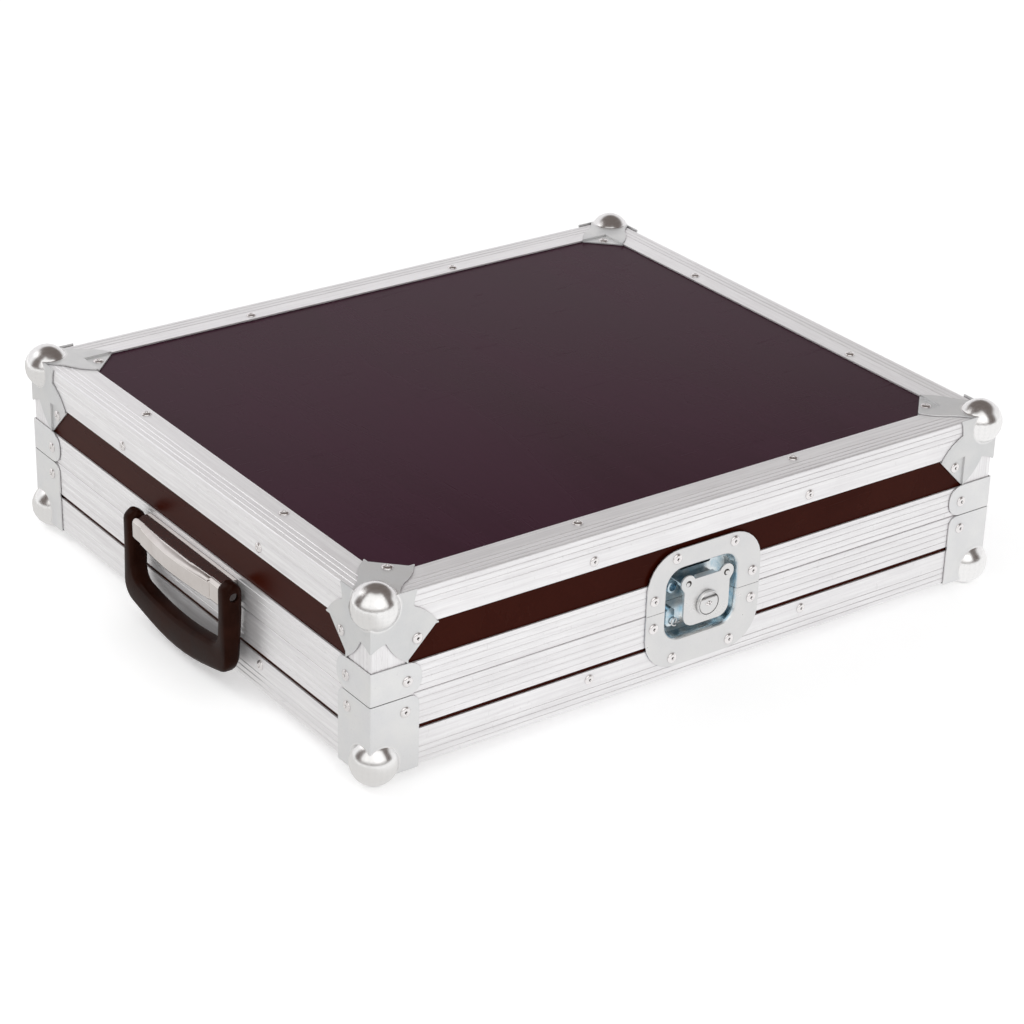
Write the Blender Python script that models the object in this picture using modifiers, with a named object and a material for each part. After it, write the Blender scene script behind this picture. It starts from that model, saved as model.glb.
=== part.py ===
"""Flight case for a tabletop sampler: a shallow base and a lift-off lid of phenolic plywood,
framed in grooved aluminium extrusions, with pressed ball corners, two recessed twist latches
and one swing handle.

Metres, +Z up. The case stands on its four lower ball corners; the origin is the centre of the
footprint's box, on the surface it stands on. -Y is the latch side in front, -X the handle side.
Every piece is modelled in the case's own frame, whose zero is the bottom centre of the
aluminium edges, and hangs on one empty that lifts it on to its ball corners.
"""
import math

import bmesh
import bpy
from mathutils import Matrix, Vector

# Driving dimensions of the case
CASE_LENGTH = 0.610
CASE_WIDTH = 0.520
CASE_HEIGHT = 0.1465
SPLIT_HEIGHT = 0.0612
PANEL = 0.007
ALU = 0.0015
GAP = 0.0003

# Edge extrusions
LEG = 0.030
EDGE_ROUND = 0.0012
GROOVE_WIDTH = 0.0010
GROOVE_DEPTH = 0.00035
EDGE_GROOVES = (0.0048, 0.0096, 0.0144)
MITRE_GAP = 0.00015

# Rim extrusions that close on each other, tongue in groove
BASE_RIM = 0.0275
LID_RIM = 0.0260
RIM_GROOVES = (0.0055, 0.0110, 0.0165, 0.0220)
RIM_INNER = 0.019
RIM_SEAT = 0.0088
TONGUE_IN = 0.0037
TONGUE_OUT = 0.0070
TONGUE_TAPER = 0.0004
TONGUE_LENGTH = 0.0049
TONGUE_CLEARANCE = 0.0004

# Pressed steel corners
STEEL = 0.0012
BALL_RADIUS = 0.0188
BALL_INSET = 0.0088
BALL_FLAT = 0.0002
BALL_SEGMENTS = 24
BALL_RINGS = 14
STAR_CREASE_TOP = 0.0245
STAR_CREASE_SIDE = 0.0385
STAR_CREASE_UPRIGHT = 0.041
STAR_WAIST = (0.036, 0.012)
STAR_TIP = 0.0575
STAR_SAG = 0.0022
BRACE_LEG = 0.0437
BRACE_HEIGHT = 0.0272
BRACE_ROUND = 0.0120
FOOT_LEG = 0.0415
FOOT_ROUND = 0.0080

# Recessed latch: its plate is centred on the split line, its cup reaches into the wall
LATCH_SHIFT = 0.0020
LATCH_PLATE = (0.1120, 0.1020)
LATCH_PLATE_ROUND = 0.030
LATCH_STEEL = 0.0012
CUP_CENTRE = (-0.0020, 0.0030)
CUP_MOUTH = (0.0682, 0.0592)
CUP_ROUND = 0.014
CUP_DEPTH = 0.0120
CUP_FLARE = 0.0020
CUP_CLEARANCE = 0.0005
CAM_AXIS = (0.0008, -0.0010)
BEARING_RADIUS = 0.0090
BEARING_HEIGHT = 0.0055
BEARING_STEP = 0.0010
SPINDLE_RADIUS = 0.0040
ECCENTRIC_RADIUS = 0.0050
ECCENTRICITY = 0.0030
ECCENTRIC_PLAY = 0.0012
HEAD_RADIUS = 0.0104
HEAD_WALL = 0.0008
HEAD_FLOOR = 0.0010
HEAD_DEPTH = 0.0030
WING_RADIUS = 0.0090
WING_THICKNESS = 0.0016
WING_AXLE = 0.0040
HOOK_STEEL = 0.0018
HOOK_REST_OUT = 0.0025
HOOK_TOP = 0.0270
HOOK_BOTTOM = -0.0180
HOOK_EAR = (0.0260, 0.0140)
HOOK_WAIST = 0.0225
HOOK_ROUND = 0.0100
HOOK_ARM = 0.0184
HOOK_REACH = 0.0226
HOOK_TIP = 0.0042
KEEPER_WIDTH = 0.0340
KEEPER_BAR = 0.0025
KEEPER_GAP = 0.0003
KEEPER_CLEARANCE = 0.0012
WINDOW = (0.0300, 0.0062)
WINDOW_EDGE = 0.0028
EYELET = (0.0052, 0.0034, 0.0080)
EYELET_PLACE = (-0.0270, 0.0160)
STOP_PAD = (0.0085, 0.0160, 0.0065)
STOP_PAD_PLACE = (-0.0270, -0.0110)

# Swing handle on the left side
HANDLE_SHIFT = -0.0065
PIVOT_OUT = 0.0115
PIVOT_ABOVE_SPLIT = 0.0148
GRIP_DEPTH = 0.0165
GRIP_WIDTH = 0.162
ARM_WIDTH = 0.0135
ARM_TOP = 0.0108
GRIP_OPENING = 0.0480
GRIP_BAR = 0.0200
GRIP_BOW = 0.0105
GRIP_INNER_BOW = 0.0040
GRIP_CORNER = 0.0140
GRIP_CORNER_TILT = 13
GRIP_INNER_CORNER = 0.0160
GRIP_SOFTNESS = 0.0045
GRIP_TAPER_START = 0.030
GRIP_TAPER = 0.42
ROD_RADIUS = 0.0035
ROD_CLEARANCE = 0.0003
ROD_RECESS = 0.0015
BRACKET_STEEL = 0.0016
BRACKET_TOP = 0.0068
BRACKET_BOTTOM = -0.0137
BRACKET_DEPTH = 0.0190
BRACKET_BULGE = 0.0035
BRACKET_ROUND = 0.0050
BRACKET_LIP = 0.0130
BRACKET_LIP_ROUND = 0.0045
BRACKET_END = 0.0150
BRACKET_STEP = 0.0014
BRACKET_CLEARANCE = 0.0004

# Foam lining
FOAM_SIDE = 0.0390
FOAM_FLOOR = 0.0100
FOAM_ROOF = 0.0200
FOAM_STANDOFF = 0.0003
FOAM_ROUND = 0.0060
FOAM_POCKET = 0.0020

# Derived places
PANEL_OUT = ALU + GAP
PANEL_IN = PANEL_OUT + PANEL
RIM_THICKNESS = PANEL_IN + GAP + ALU
FACE_OUT = GAP + STEEL
BALL_REACH = BALL_RADIUS - BALL_INSET
STAND_HEIGHT = BALL_REACH - BALL_FLAT
HANDLE_REACH = BRACKET_DEPTH + BRACKET_BULGE
CASE_SHIFT = (HANDLE_REACH - BALL_REACH) / 2
CUP_HALF = (CUP_MOUTH[0] / 2 + LATCH_STEEL, CUP_MOUTH[1] / 2 + LATCH_STEEL)
SIDES = ("front", "right", "back", "left")
CORNERS = ("front_left", "front_right", "back_right", "back_left")

for old in list(bpy.data.objects):
    bpy.data.objects.remove(old, do_unlink=True)

case = bpy.data.collections.new("sampler_flight_case")
cutters = bpy.data.collections.new("cutters")
bpy.context.scene.collection.children.link(case)
bpy.context.scene.collection.children.link(cutters)


def finish(name, color, roughness, metallic):
    """A plain material of one colour."""
    material = bpy.data.materials.new(name)
    material.use_nodes = True
    shader = material.node_tree.nodes["Principled BSDF"]
    shader.inputs["Base Color"].default_value = (*color, 1.0)
    shader.inputs["Roughness"].default_value = roughness
    shader.inputs["Metallic"].default_value = metallic
    material.diffuse_color = (*color, 1.0)
    return material


ALUMINIUM = ("aluminium", (0.84, 0.84, 0.85), 0.32, 1.0)
ZINC = ("zinc_plated_steel", (0.74, 0.77, 0.79), 0.25, 1.0)
CHROME = ("chrome_plated_steel", (0.86, 0.84, 0.82), 0.08, 1.0)
PHENOLIC = ("phenolic_plywood", (0.050, 0.022, 0.028), 0.30, 0.0)
PLASTIC = ("black_plastic", (0.022, 0.017, 0.015), 0.38, 0.0)
FOAM = ("grey_foam", (0.055, 0.055, 0.060), 0.95, 0.0)


def place(name, mesh, look, location=(0, 0, 0), rotation=(0, 0, 0), parent=None):
    """Puts a mesh in the case as a named piece with a material of its own."""
    piece = bpy.data.objects.new(name, mesh)
    case.objects.link(piece)
    piece.location = location
    piece.rotation_euler = rotation
    piece.parent = parent or case_frame
    mesh.materials.clear()
    mesh.materials.append(finish(f"{name}_{look[0]}", *look[1:]))
    return piece


def empty(name, location=(0, 0, 0), rotation=(0, 0, 0), parent=None):
    """A frame that pieces are parented to."""
    frame = bpy.data.objects.new(name, None)
    case.objects.link(frame)
    frame.location = location
    frame.rotation_euler = rotation
    frame.parent = parent
    return frame


def cutter(name, mesh, location=(0, 0, 0), rotation=(0, 0, 0), parent=None):
    """A wire-drawn guide solid that Booleans use."""
    guide = bpy.data.objects.new(name, mesh)
    cutters.objects.link(guide)
    guide.location = location
    guide.rotation_euler = rotation
    guide.parent = parent or case_frame
    guide.hide_render = True
    guide.display_type = "WIRE"
    return guide


def boolean(piece, guide, operation="DIFFERENCE"):
    """Cuts a piece with a guide solid, or joins the two."""
    step = piece.modifiers.new(f"{operation.lower()}_{guide.name}", "BOOLEAN")
    step.operation = operation
    step.solver = "EXACT"
    step.object = guide


def to_mesh(work, name):
    """Ends a bmesh as a mesh whose faces point out."""
    bmesh.ops.recalc_face_normals(work, faces=work.faces)
    mesh = bpy.data.meshes.new(name)
    work.to_mesh(mesh)
    work.free()
    return mesh


def block(name, low, high):
    """A box between two corners."""
    low = Vector(low)
    high = Vector(high)
    work = bmesh.new()
    size = Matrix.Diagonal((*(high - low), 1.0))
    bmesh.ops.create_cube(work, size=1.0, matrix=Matrix.Translation((low + high) / 2) @ size)
    return to_mesh(work, name)


def plate(name, outline, bottom, top):
    """A flat outline in X and Y, filled and extruded from bottom to top along Z."""
    curve = bpy.data.curves.new(name, "CURVE")
    curve.dimensions = "2D"
    curve.fill_mode = "BOTH"
    curve.extrude = (top - bottom) / 2
    spline = curve.splines.new("POLY")
    spline.points.add(len(outline) - 1)
    for point, (x, y) in zip(spline.points, outline):
        point.co = (x, y, 0.0, 1.0)
    spline.use_cyclic_u = True
    drawn = bpy.data.objects.new(name, curve)
    case.objects.link(drawn)
    graph = bpy.context.evaluated_depsgraph_get()
    mesh = bpy.data.meshes.new_from_object(drawn.evaluated_get(graph))
    bpy.data.objects.remove(drawn)
    bpy.data.curves.remove(curve)
    work = bmesh.new()
    work.from_mesh(mesh)
    bpy.data.meshes.remove(mesh)
    bmesh.ops.remove_doubles(work, verts=work.verts, dist=0.00001)
    bmesh.ops.translate(work, verts=work.verts, vec=(0, 0, (top + bottom) / 2))
    return to_mesh(work, name)


def turned(name, profile, segments):
    """A solid of revolution about Z from its outer profile, listed top to bottom."""
    work = bmesh.new()
    rim = [work.verts.new((radius, 0, z)) for radius, z in profile]
    for first, second in zip(rim, rim[1:]):
        work.edges.new((first, second))
    mesh = bpy.data.meshes.new(name)
    work.to_mesh(mesh)
    work.free()
    shape = bpy.data.objects.new(name, mesh)
    case.objects.link(shape)
    spin = shape.modifiers.new("turn", "SCREW")
    spin.steps = segments
    spin.render_steps = segments
    spin.use_merge_vertices = True
    spin.merge_threshold = 0.00001
    graph = bpy.context.evaluated_depsgraph_get()
    solid = bpy.data.meshes.new_from_object(shape.evaluated_get(graph))
    bpy.data.objects.remove(shape)
    bpy.data.meshes.remove(mesh)
    work = bmesh.new()
    work.from_mesh(solid)
    bpy.data.meshes.remove(solid)
    bmesh.ops.remove_doubles(work, verts=work.verts, dist=0.00001)
    return to_mesh(work, name)


def loft(name, rings):
    """A closed solid through rings of equally many points, listed from bottom to top."""
    work = bmesh.new()
    loops = [[work.verts.new(point) for point in ring] for ring in rings]
    count = len(loops[0])
    for lower, upper in zip(loops, loops[1:]):
        for i in range(count):
            j = (i + 1) % count
            work.faces.new((lower[i], lower[j], upper[j], upper[i]))
    work.faces.new(loops[0])
    work.faces.new(loops[-1])
    return to_mesh(work, name)


def joined(name, meshes):
    """Meshes united into one solid by Boolean unions."""
    shape = bpy.data.objects.new(name, meshes[0])
    case.objects.link(shape)
    helpers = []
    for index, mesh in enumerate(meshes[1:]):
        helper = bpy.data.objects.new(f"{name}_{index}", mesh)
        case.objects.link(helper)
        helpers.append(helper)
        boolean(shape, helper, "UNION")
    graph = bpy.context.evaluated_depsgraph_get()
    solid = bpy.data.meshes.new_from_object(shape.evaluated_get(graph))
    for helper in (shape, *helpers):
        bpy.data.objects.remove(helper)
    return solid


def smooth(piece, angle=35):
    """Shades round faces smooth and keeps the creases."""
    piece.data.shade_smooth()
    piece.data.set_sharp_from_angle(angle=math.radians(angle))


def arc(centre, radius, start, stop, steps):
    """Points on a circle from one angle to another, in degrees."""
    points = []
    for i in range(steps + 1):
        angle = math.radians(start + (stop - start) * i / steps)
        points.append((centre[0] + radius * math.cos(angle), centre[1] + radius * math.sin(angle)))
    return points


def rounded_rectangle(width, height, radius, steps=6):
    """A rectangle with round corners, counter-clockwise about its centre."""
    x = width / 2 - radius
    y = height / 2 - radius
    return (arc((x, y), radius, 0, 90, steps) + arc((-x, y), radius, 90, 180, steps)
            + arc((-x, -y), radius, 180, 270, steps) + arc((x, -y), radius, 270, 360, steps))


def bowed(start, stop, sag, steps=5):
    """Points from start up to stop along a line that bows to its left by sag."""
    start = Vector(start)
    run = Vector(stop) - start
    side = Vector((-run.y, run.x)).normalized()
    return [tuple(start + run * (i / steps) + side * sag * math.sin(math.pi * i / steps))
            for i in range(1, steps)]


def grooved_run(length, grooves):
    """Places along a face and their depths, with a V at each groove."""
    run = []
    for centre in grooves:
        if centre + GROOVE_WIDTH < length:
            run += [(centre - GROOVE_WIDTH / 2, 0.0), (centre, GROOVE_DEPTH),
                    (centre + GROOVE_WIDTH / 2, 0.0)]
    return run


def angle_outline(turn=1):
    """Cross-section of the edge angle, its outer corner at zero; turn -1 hangs it downward."""
    run = grooved_run(LEG, EDGE_GROOVES)
    points = [(0.0, LEG)]
    points += [(depth, place_on) for place_on, depth in reversed(run)]
    points += arc((EDGE_ROUND, EDGE_ROUND), EDGE_ROUND, 180, 270, 3)
    points += [(place_on, depth) for place_on, depth in run]
    points += [(LEG, 0.0), (LEG, ALU), (ALU, ALU), (ALU, LEG)]
    return [(x, y * turn) for x, y in points]


def rim_outline(height, male):
    """Cross-section of a rim extrusion above the split line: grooved face, slot for the panel,
    and a tongue or the groove that takes it. X runs inward, Y away from the split line."""
    start = GAP if male else 0.0
    run = grooved_run(height, RIM_GROOVES)
    points = [(0.0, height)]
    points += [(depth, place_on) for place_on, depth in reversed(run)]
    points += [(0.0, start + EDGE_ROUND / 2), (EDGE_ROUND / 2, start)]
    wide = 0.0 if male else TONGUE_CLEARANCE
    reach = -TONGUE_LENGTH if male else TONGUE_LENGTH + TONGUE_CLEARANCE
    points += [(TONGUE_IN - wide, start), (TONGUE_IN + TONGUE_TAPER - wide, reach),
               (TONGUE_OUT - TONGUE_TAPER + wide, reach), (TONGUE_OUT + wide, start)]
    points += [(RIM_THICKNESS - EDGE_ROUND / 2, start), (RIM_THICKNESS, start + EDGE_ROUND / 2)]
    points += [(RIM_THICKNESS, RIM_INNER), (RIM_THICKNESS - ALU, RIM_INNER)]
    points += [(RIM_THICKNESS - ALU, RIM_SEAT), (ALU, RIM_SEAT), (ALU, height)]
    return points


def extrusion(name, outline, length, mitred=(True, True)):
    """A length of profile, centred along Z, whose mitred ends are cut back by the inward depth."""
    mesh = plate(name, outline, -length / 2, length / 2)
    for vertex in mesh.vertices:
        end = vertex.co.z > 0
        if mitred[end]:
            trim = vertex.co.x + MITRE_GAP
            vertex.co.z += -trim if end else trim
    return mesh


def side_length(side):
    """Length of the case along one side, and the distance of that side from the centre."""
    if side % 2 == 0:
        return CASE_LENGTH, CASE_WIDTH / 2
    return CASE_WIDTH, CASE_LENGTH / 2


def side_place(side, along=0.0, inward=0.0, height=0.0):
    """A point on a side, in the case's frame."""
    _, distance = side_length(side)
    return Matrix.Rotation(side * math.pi / 2, 4, "Z") @ Vector((along, inward - distance, height))


def corner_place(corner, height=0.0):
    """An upright edge of the case."""
    x = CASE_LENGTH / 2 * (-1 if corner in (0, 3) else 1)
    y = CASE_WIDTH / 2 * (-1 if corner in (0, 1) else 1)
    return Vector((x, y, height))


def along_side(side):
    """Rotation that lays a profile along a side, with its X inward and its Y up."""
    return (math.pi / 2, 0, math.pi / 2 + side * math.pi / 2)


case_frame = empty("case_frame", (CASE_SHIFT, 0, STAND_HEIGHT))


def cup_place(side):
    """The middle of a latch cup on the outer plane of its side."""
    return side_place(side, LATCH_SHIFT + CUP_CENTRE[0], height=SPLIT_HEIGHT + CUP_CENTRE[1])


def latch_opening():
    """Guides for the holes that the two latch cups need in walls and edges."""
    guides = {}
    width = 2 * (CUP_HALF[0] + CUP_CLEARANCE)
    height = 2 * (CUP_HALF[1] + CUP_CLEARANCE)
    outline = rounded_rectangle(width, height, CUP_ROUND + LATCH_STEEL)
    for side in (0, 2):
        mesh = plate(f"cup_hole_{SIDES[side]}", outline, -RIM_THICKNESS - CUP_DEPTH, RIM_THICKNESS)
        guides[side] = cutter(f"cup_hole_{SIDES[side]}", mesh, cup_place(side),
                              (math.pi / 2, 0, side * math.pi / 2))
    return guides


def panels(holes):
    """Floor, roof and the walls of base and lid."""
    x = CASE_LENGTH / 2 - PANEL_OUT
    y = CASE_WIDTH / 2 - PANEL_OUT
    place("base_floor_panel", block("base_floor_panel", (-x, -y, PANEL_OUT), (x, y, PANEL_IN)), PHENOLIC)
    roof = CASE_HEIGHT - PANEL_IN
    place("lid_top_panel", block("lid_top_panel", (-x, -y, roof), (x, y, roof + PANEL)), PHENOLIC)
    seat = RIM_SEAT + GAP
    spans = {"base": (PANEL_IN + GAP, SPLIT_HEIGHT - seat), "lid": (SPLIT_HEIGHT + seat, roof - GAP)}
    for part, (low, high) in spans.items():
        for side, side_name in enumerate(SIDES):
            length, _ = side_length(side)
            trim = PANEL_OUT if side % 2 == 0 else PANEL_IN + GAP
            name = f"{part}_wall_{side_name}"
            mesh = block(name, (trim - length / 2, PANEL_OUT, low), (length / 2 - trim, PANEL_IN, high))
            wall = place(name, mesh, PHENOLIC, side_place(side), (0, 0, side * math.pi / 2))
            if side in holes:
                boolean(wall, holes[side])


def edges(holes):
    """Mitred angles round the floor and the roof, and upright ones between roof and rim."""
    for side, side_name in enumerate(SIDES):
        length, _ = side_length(side)
        name = f"base_edge_{side_name}"
        edge = place(name, extrusion(name, angle_outline(), length), ALUMINIUM,
                     side_place(side), along_side(side))
        if side in holes:
            boolean(edge, holes[side])
        name = f"lid_edge_{side_name}"
        place(name, extrusion(name, angle_outline(-1), length), ALUMINIUM,
              side_place(side, height=CASE_HEIGHT), along_side(side))
    low = SPLIT_HEIGHT + LID_RIM + GAP
    high = CASE_HEIGHT - LEG - GAP
    for corner, corner_name in enumerate(CORNERS):
        name = f"lid_post_{corner_name}"
        place(name, plate(name, angle_outline(), low, high), ALUMINIUM,
              corner_place(corner), (0, 0, corner * math.pi / 2))


def rims():
    """Rim extrusions: whole lengths at the sides, two lengths where a latch cup stands between."""
    for part, height, male, flip in (("base", BASE_RIM, False, -1), ("lid", LID_RIM, True, 1)):
        outline = [(x, y * flip) for x, y in rim_outline(height, male)]
        for side, side_name in enumerate(SIDES):
            length, _ = side_length(side)
            name = f"{part}_rim_{side_name}"
            turn = along_side(side)
            if side % 2:
                place(name, extrusion(name, outline, length), ALUMINIUM,
                      side_place(side, height=SPLIT_HEIGHT), turn)
                continue
            middle = LATCH_SHIFT + CUP_CENTRE[0]
            for end, mitred in ((-1, (True, False)), (1, (False, True))):
                piece = f"{name}_{'left' if end < 0 else 'right'}"
                stop = middle + end * (CUP_HALF[0] + CUP_CLEARANCE)
                corner = end * length / 2
                place(piece, extrusion(piece, outline, abs(corner - stop), mitred), ALUMINIUM,
                      side_place(side, (corner + stop) / 2, height=SPLIT_HEIGHT), turn)


def ball(name):
    """The pressed ball, its centre set in from the three faces that meet at zero."""
    work = bmesh.new()
    bmesh.ops.create_uvsphere(work, u_segments=BALL_SEGMENTS, v_segments=BALL_RINGS,
                              radius=BALL_RADIUS,
                              matrix=Matrix.Translation((BALL_INSET, BALL_INSET, -BALL_INSET)))
    return to_mesh(work, name)


def star_half(crease, tip_seat):
    """Outline of half a star face, from the end of its crease over the waist to the tip."""
    waist = STAR_WAIST
    half = [(crease, -FACE_OUT), (crease, 0.0)]
    half += bowed((crease, 0.0), waist, STAR_SAG / 3, 3) + [waist]
    half += bowed(waist, (STAR_TIP, tip_seat), -STAR_SAG) + [(STAR_TIP, tip_seat)]
    return half


def star_outlines(creases):
    """One face of the lid's ball corner: the raised star, the step down, and the tab on the panel.
    Its two creases end where the neighbouring faces begin to stand clear of it."""
    inner = LEG + GAP
    outer = inner + STEEL
    first, second = (star_half(crease, outer) for crease in creases)
    star = [(-FACE_OUT, -FACE_OUT), *first, (outer, outer), *[(y, x) for x, y in reversed(second)]]
    step = [(inner, inner), (STAR_TIP, inner), (STAR_TIP, outer), (outer, outer),
            (outer, STAR_TIP), (inner, STAR_TIP)]
    tab = [(inner, inner), (STAR_TIP, inner), (STAR_TIP, outer), (outer, STAR_TIP), (inner, STAR_TIP)]
    return star, step, tab


def star_face(name, creases):
    """The three plates of one face, lying in X and Y above the face at zero."""
    star, step, tab = star_outlines(creases)
    low = -ALU
    return [plate(name, star, GAP, FACE_OUT), plate(name, step, low, FACE_OUT),
            plate(name, tab, low, low + STEEL)]


def to_face(mesh, face):
    """Turns a plate that lies on the top face on to the front or the left face."""
    swaps = {"top": Matrix.Identity(4),
             "front": Matrix(((1, 0, 0, 0), (0, 0, -1, 0), (0, -1, 0, 0), (0, 0, 0, 1))),
             "left": Matrix(((0, 0, -1, 0), (0, 1, 0, 0), (-1, 0, 0, 0), (0, 0, 0, 1)))}
    mesh.transform(swaps[face])
    if face != "top":
        mesh.flip_normals()
    return mesh


def ball_corner():
    """The lid's star-shaped corner with its ball, the corner of the case at zero."""
    name = "lid_ball_corner"
    shell = bpy.data.objects.new(name, ball(name))
    case.objects.link(shell)
    reach = 2 * BALL_RADIUS
    guide = cutter(f"{name}_inner", block(name, (-GAP, -GAP, -reach), (reach, reach, GAP)), parent=shell)
    boolean(shell, guide)
    graph = bpy.context.evaluated_depsgraph_get()
    cap = bpy.data.meshes.new_from_object(shell.evaluated_get(graph))
    bpy.data.objects.remove(guide)
    bpy.data.objects.remove(shell)
    meshes = [cap]
    creases = {"top": (STAR_CREASE_TOP, STAR_CREASE_TOP), "front": (STAR_CREASE_SIDE, STAR_CREASE_UPRIGHT),
               "left": (STAR_CREASE_UPRIGHT, STAR_CREASE_SIDE)}
    for face, reach in creases.items():
        meshes += [to_face(mesh, face) for mesh in star_face(name, reach)]
    return joined(name, meshes)


def angle_plate(name, leg, low, high, round_ends, both_ends):
    """A bent plate round an upright edge, whose leg ends have round corners."""
    outline = [(-FACE_OUT, leg), (-FACE_OUT, -GAP)]
    outline += arc((STEEL - FACE_OUT, STEEL - FACE_OUT), STEEL, 180, 270, 3)[1:-1]
    outline += [(-GAP, -FACE_OUT), (leg, -FACE_OUT), (leg, -GAP), (-GAP, -GAP), (-GAP, leg)]
    mesh = plate(name, outline, low, high)
    work = bmesh.new()
    work.from_mesh(mesh)
    bmesh.ops.dissolve_limit(work, angle_limit=0.01, verts=work.verts, edges=work.edges)
    ends = []
    for edge in work.edges:
        middle = (edge.verts[0].co + edge.verts[1].co) / 2
        across = edge.calc_length() < 2 * STEEL
        at_end = max(middle.x, middle.y) > leg - GAP
        at_level = middle.z > high - GAP or (both_ends and middle.z < low + GAP)
        if across and at_end and at_level:
            ends.append(edge)
    bmesh.ops.bevel(work, geom=ends, offset=round_ends, segments=6, affect="EDGES", profile=0.5)
    return to_mesh(work, name)


def foot_corner():
    """The base's corner: a bent plate as high as the base, a sole plate and the ball it stands on."""
    name = "base_ball_corner"
    ball_mesh = ball(name)
    ball_mesh.transform(Matrix.Translation((0, 0, 2 * BALL_INSET)))
    shell = bpy.data.objects.new(name, ball_mesh)
    case.objects.link(shell)
    reach = 2 * BALL_RADIUS
    inner = cutter(f"{name}_inner", block(name, (-GAP, -GAP, -GAP), (reach, reach, reach)), parent=shell)
    flat_mesh = block(name, (-reach, -reach, -reach), (reach, reach, BALL_FLAT - BALL_REACH))
    flat = cutter(f"{name}_flat", flat_mesh, parent=shell)
    boolean(shell, inner)
    boolean(shell, flat)
    graph = bpy.context.evaluated_depsgraph_get()
    cap = bpy.data.meshes.new_from_object(shell.evaluated_get(graph))
    for helper in (inner, flat, shell):
        bpy.data.objects.remove(helper)
    upright = angle_plate(name, FOOT_LEG, -FACE_OUT, SPLIT_HEIGHT - GAP, FOOT_ROUND, False)
    sole = [(-FACE_OUT, -FACE_OUT), (FOOT_LEG, -FACE_OUT), (FOOT_LEG, LEG / 2), (LEG / 2, FOOT_LEG),
            (-FACE_OUT, FOOT_LEG)]
    return joined(name, [cap, upright, plate(name, sole, -FACE_OUT, -GAP)])


def corners():
    """Ball corners on the lid, their braces on the lid's rim, and the feet of the base."""
    star = ball_corner()
    foot = foot_corner()
    low = SPLIT_HEIGHT + GAP
    brace = angle_plate("lid_brace", BRACE_LEG, low, low + BRACE_HEIGHT, BRACE_ROUND, True)
    for corner, corner_name in enumerate(CORNERS):
        turn = (0, 0, corner * math.pi / 2)
        top = place(f"lid_ball_corner_{corner_name}", star.copy(), ZINC,
                    corner_place(corner, CASE_HEIGHT), turn)
        place(f"lid_brace_{corner_name}", brace.copy(), ZINC, corner_place(corner), turn)
        bottom = place(f"base_ball_corner_{corner_name}", foot.copy(), ZINC, corner_place(corner), turn)
        smooth(top)
        smooth(bottom)


def cup_ring(offset, height):
    """A ring of the cup at an offset from its mouth's size, at a height above the face."""
    outline = rounded_rectangle(CUP_MOUTH[0] + 2 * offset, CUP_MOUTH[1] + 2 * offset, CUP_ROUND + offset)
    return [(x + CUP_CENTRE[0], y + CUP_CENTRE[1], height) for x, y in outline]


def half_space(name, upper):
    """A box over one half of a latch, which stops short of the split line by half a gap."""
    reach = LATCH_PLATE[1]
    if upper:
        return block(name, (-reach, GAP / 2, -reach), (reach, reach, reach))
    return block(name, (-reach, -reach, -reach), (reach, -GAP / 2, reach))


def latch_dishes(side_name, frame):
    """The two halves of the recessed dish: the lower holds the twist cam, the upper the keeper."""
    name = f"latch_{side_name}_dish"
    flange = plate(name, rounded_rectangle(*LATCH_PLATE, LATCH_PLATE_ROUND, 8), GAP, GAP + LATCH_STEEL)
    floor = -CUP_DEPTH
    shell = loft(name, [cup_ring(LATCH_STEEL - CUP_FLARE, floor - LATCH_STEEL),
                        cup_ring(LATCH_STEEL, floor + LATCH_STEEL), cup_ring(LATCH_STEEL, 2 * GAP)])
    front = GAP + LATCH_STEEL
    hollow = loft(name, [cup_ring(-CUP_FLARE, floor), cup_ring(0, floor + CUP_FLARE), cup_ring(0, -CUP_FLARE),
                         cup_ring(CUP_FLARE * 0.3, -GAP), cup_ring(CUP_FLARE, front - GAP / 2),
                         cup_ring(CUP_FLARE * 1.5, front + GAP)])
    whole = joined(name, [flange, shell])
    hollow_guide = cutter(f"{name}_hollow", hollow, parent=frame)
    for upper, half_name in ((False, "lower"), (True, "upper")):
        dish = place(f"latch_{side_name}_{half_name}_dish", whole.copy(), ZINC, parent=frame)
        boolean(dish, hollow_guide)
        half = half_space(f"{name}_{half_name}_half", upper)
        boolean(dish, cutter(f"{name}_{half_name}_half", half, parent=frame), "INTERSECT")
        if upper:
            upper_dish_details(side_name, frame, dish)
        else:
            lower_dish_details(side_name, frame, dish)
        smooth(dish)


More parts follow.
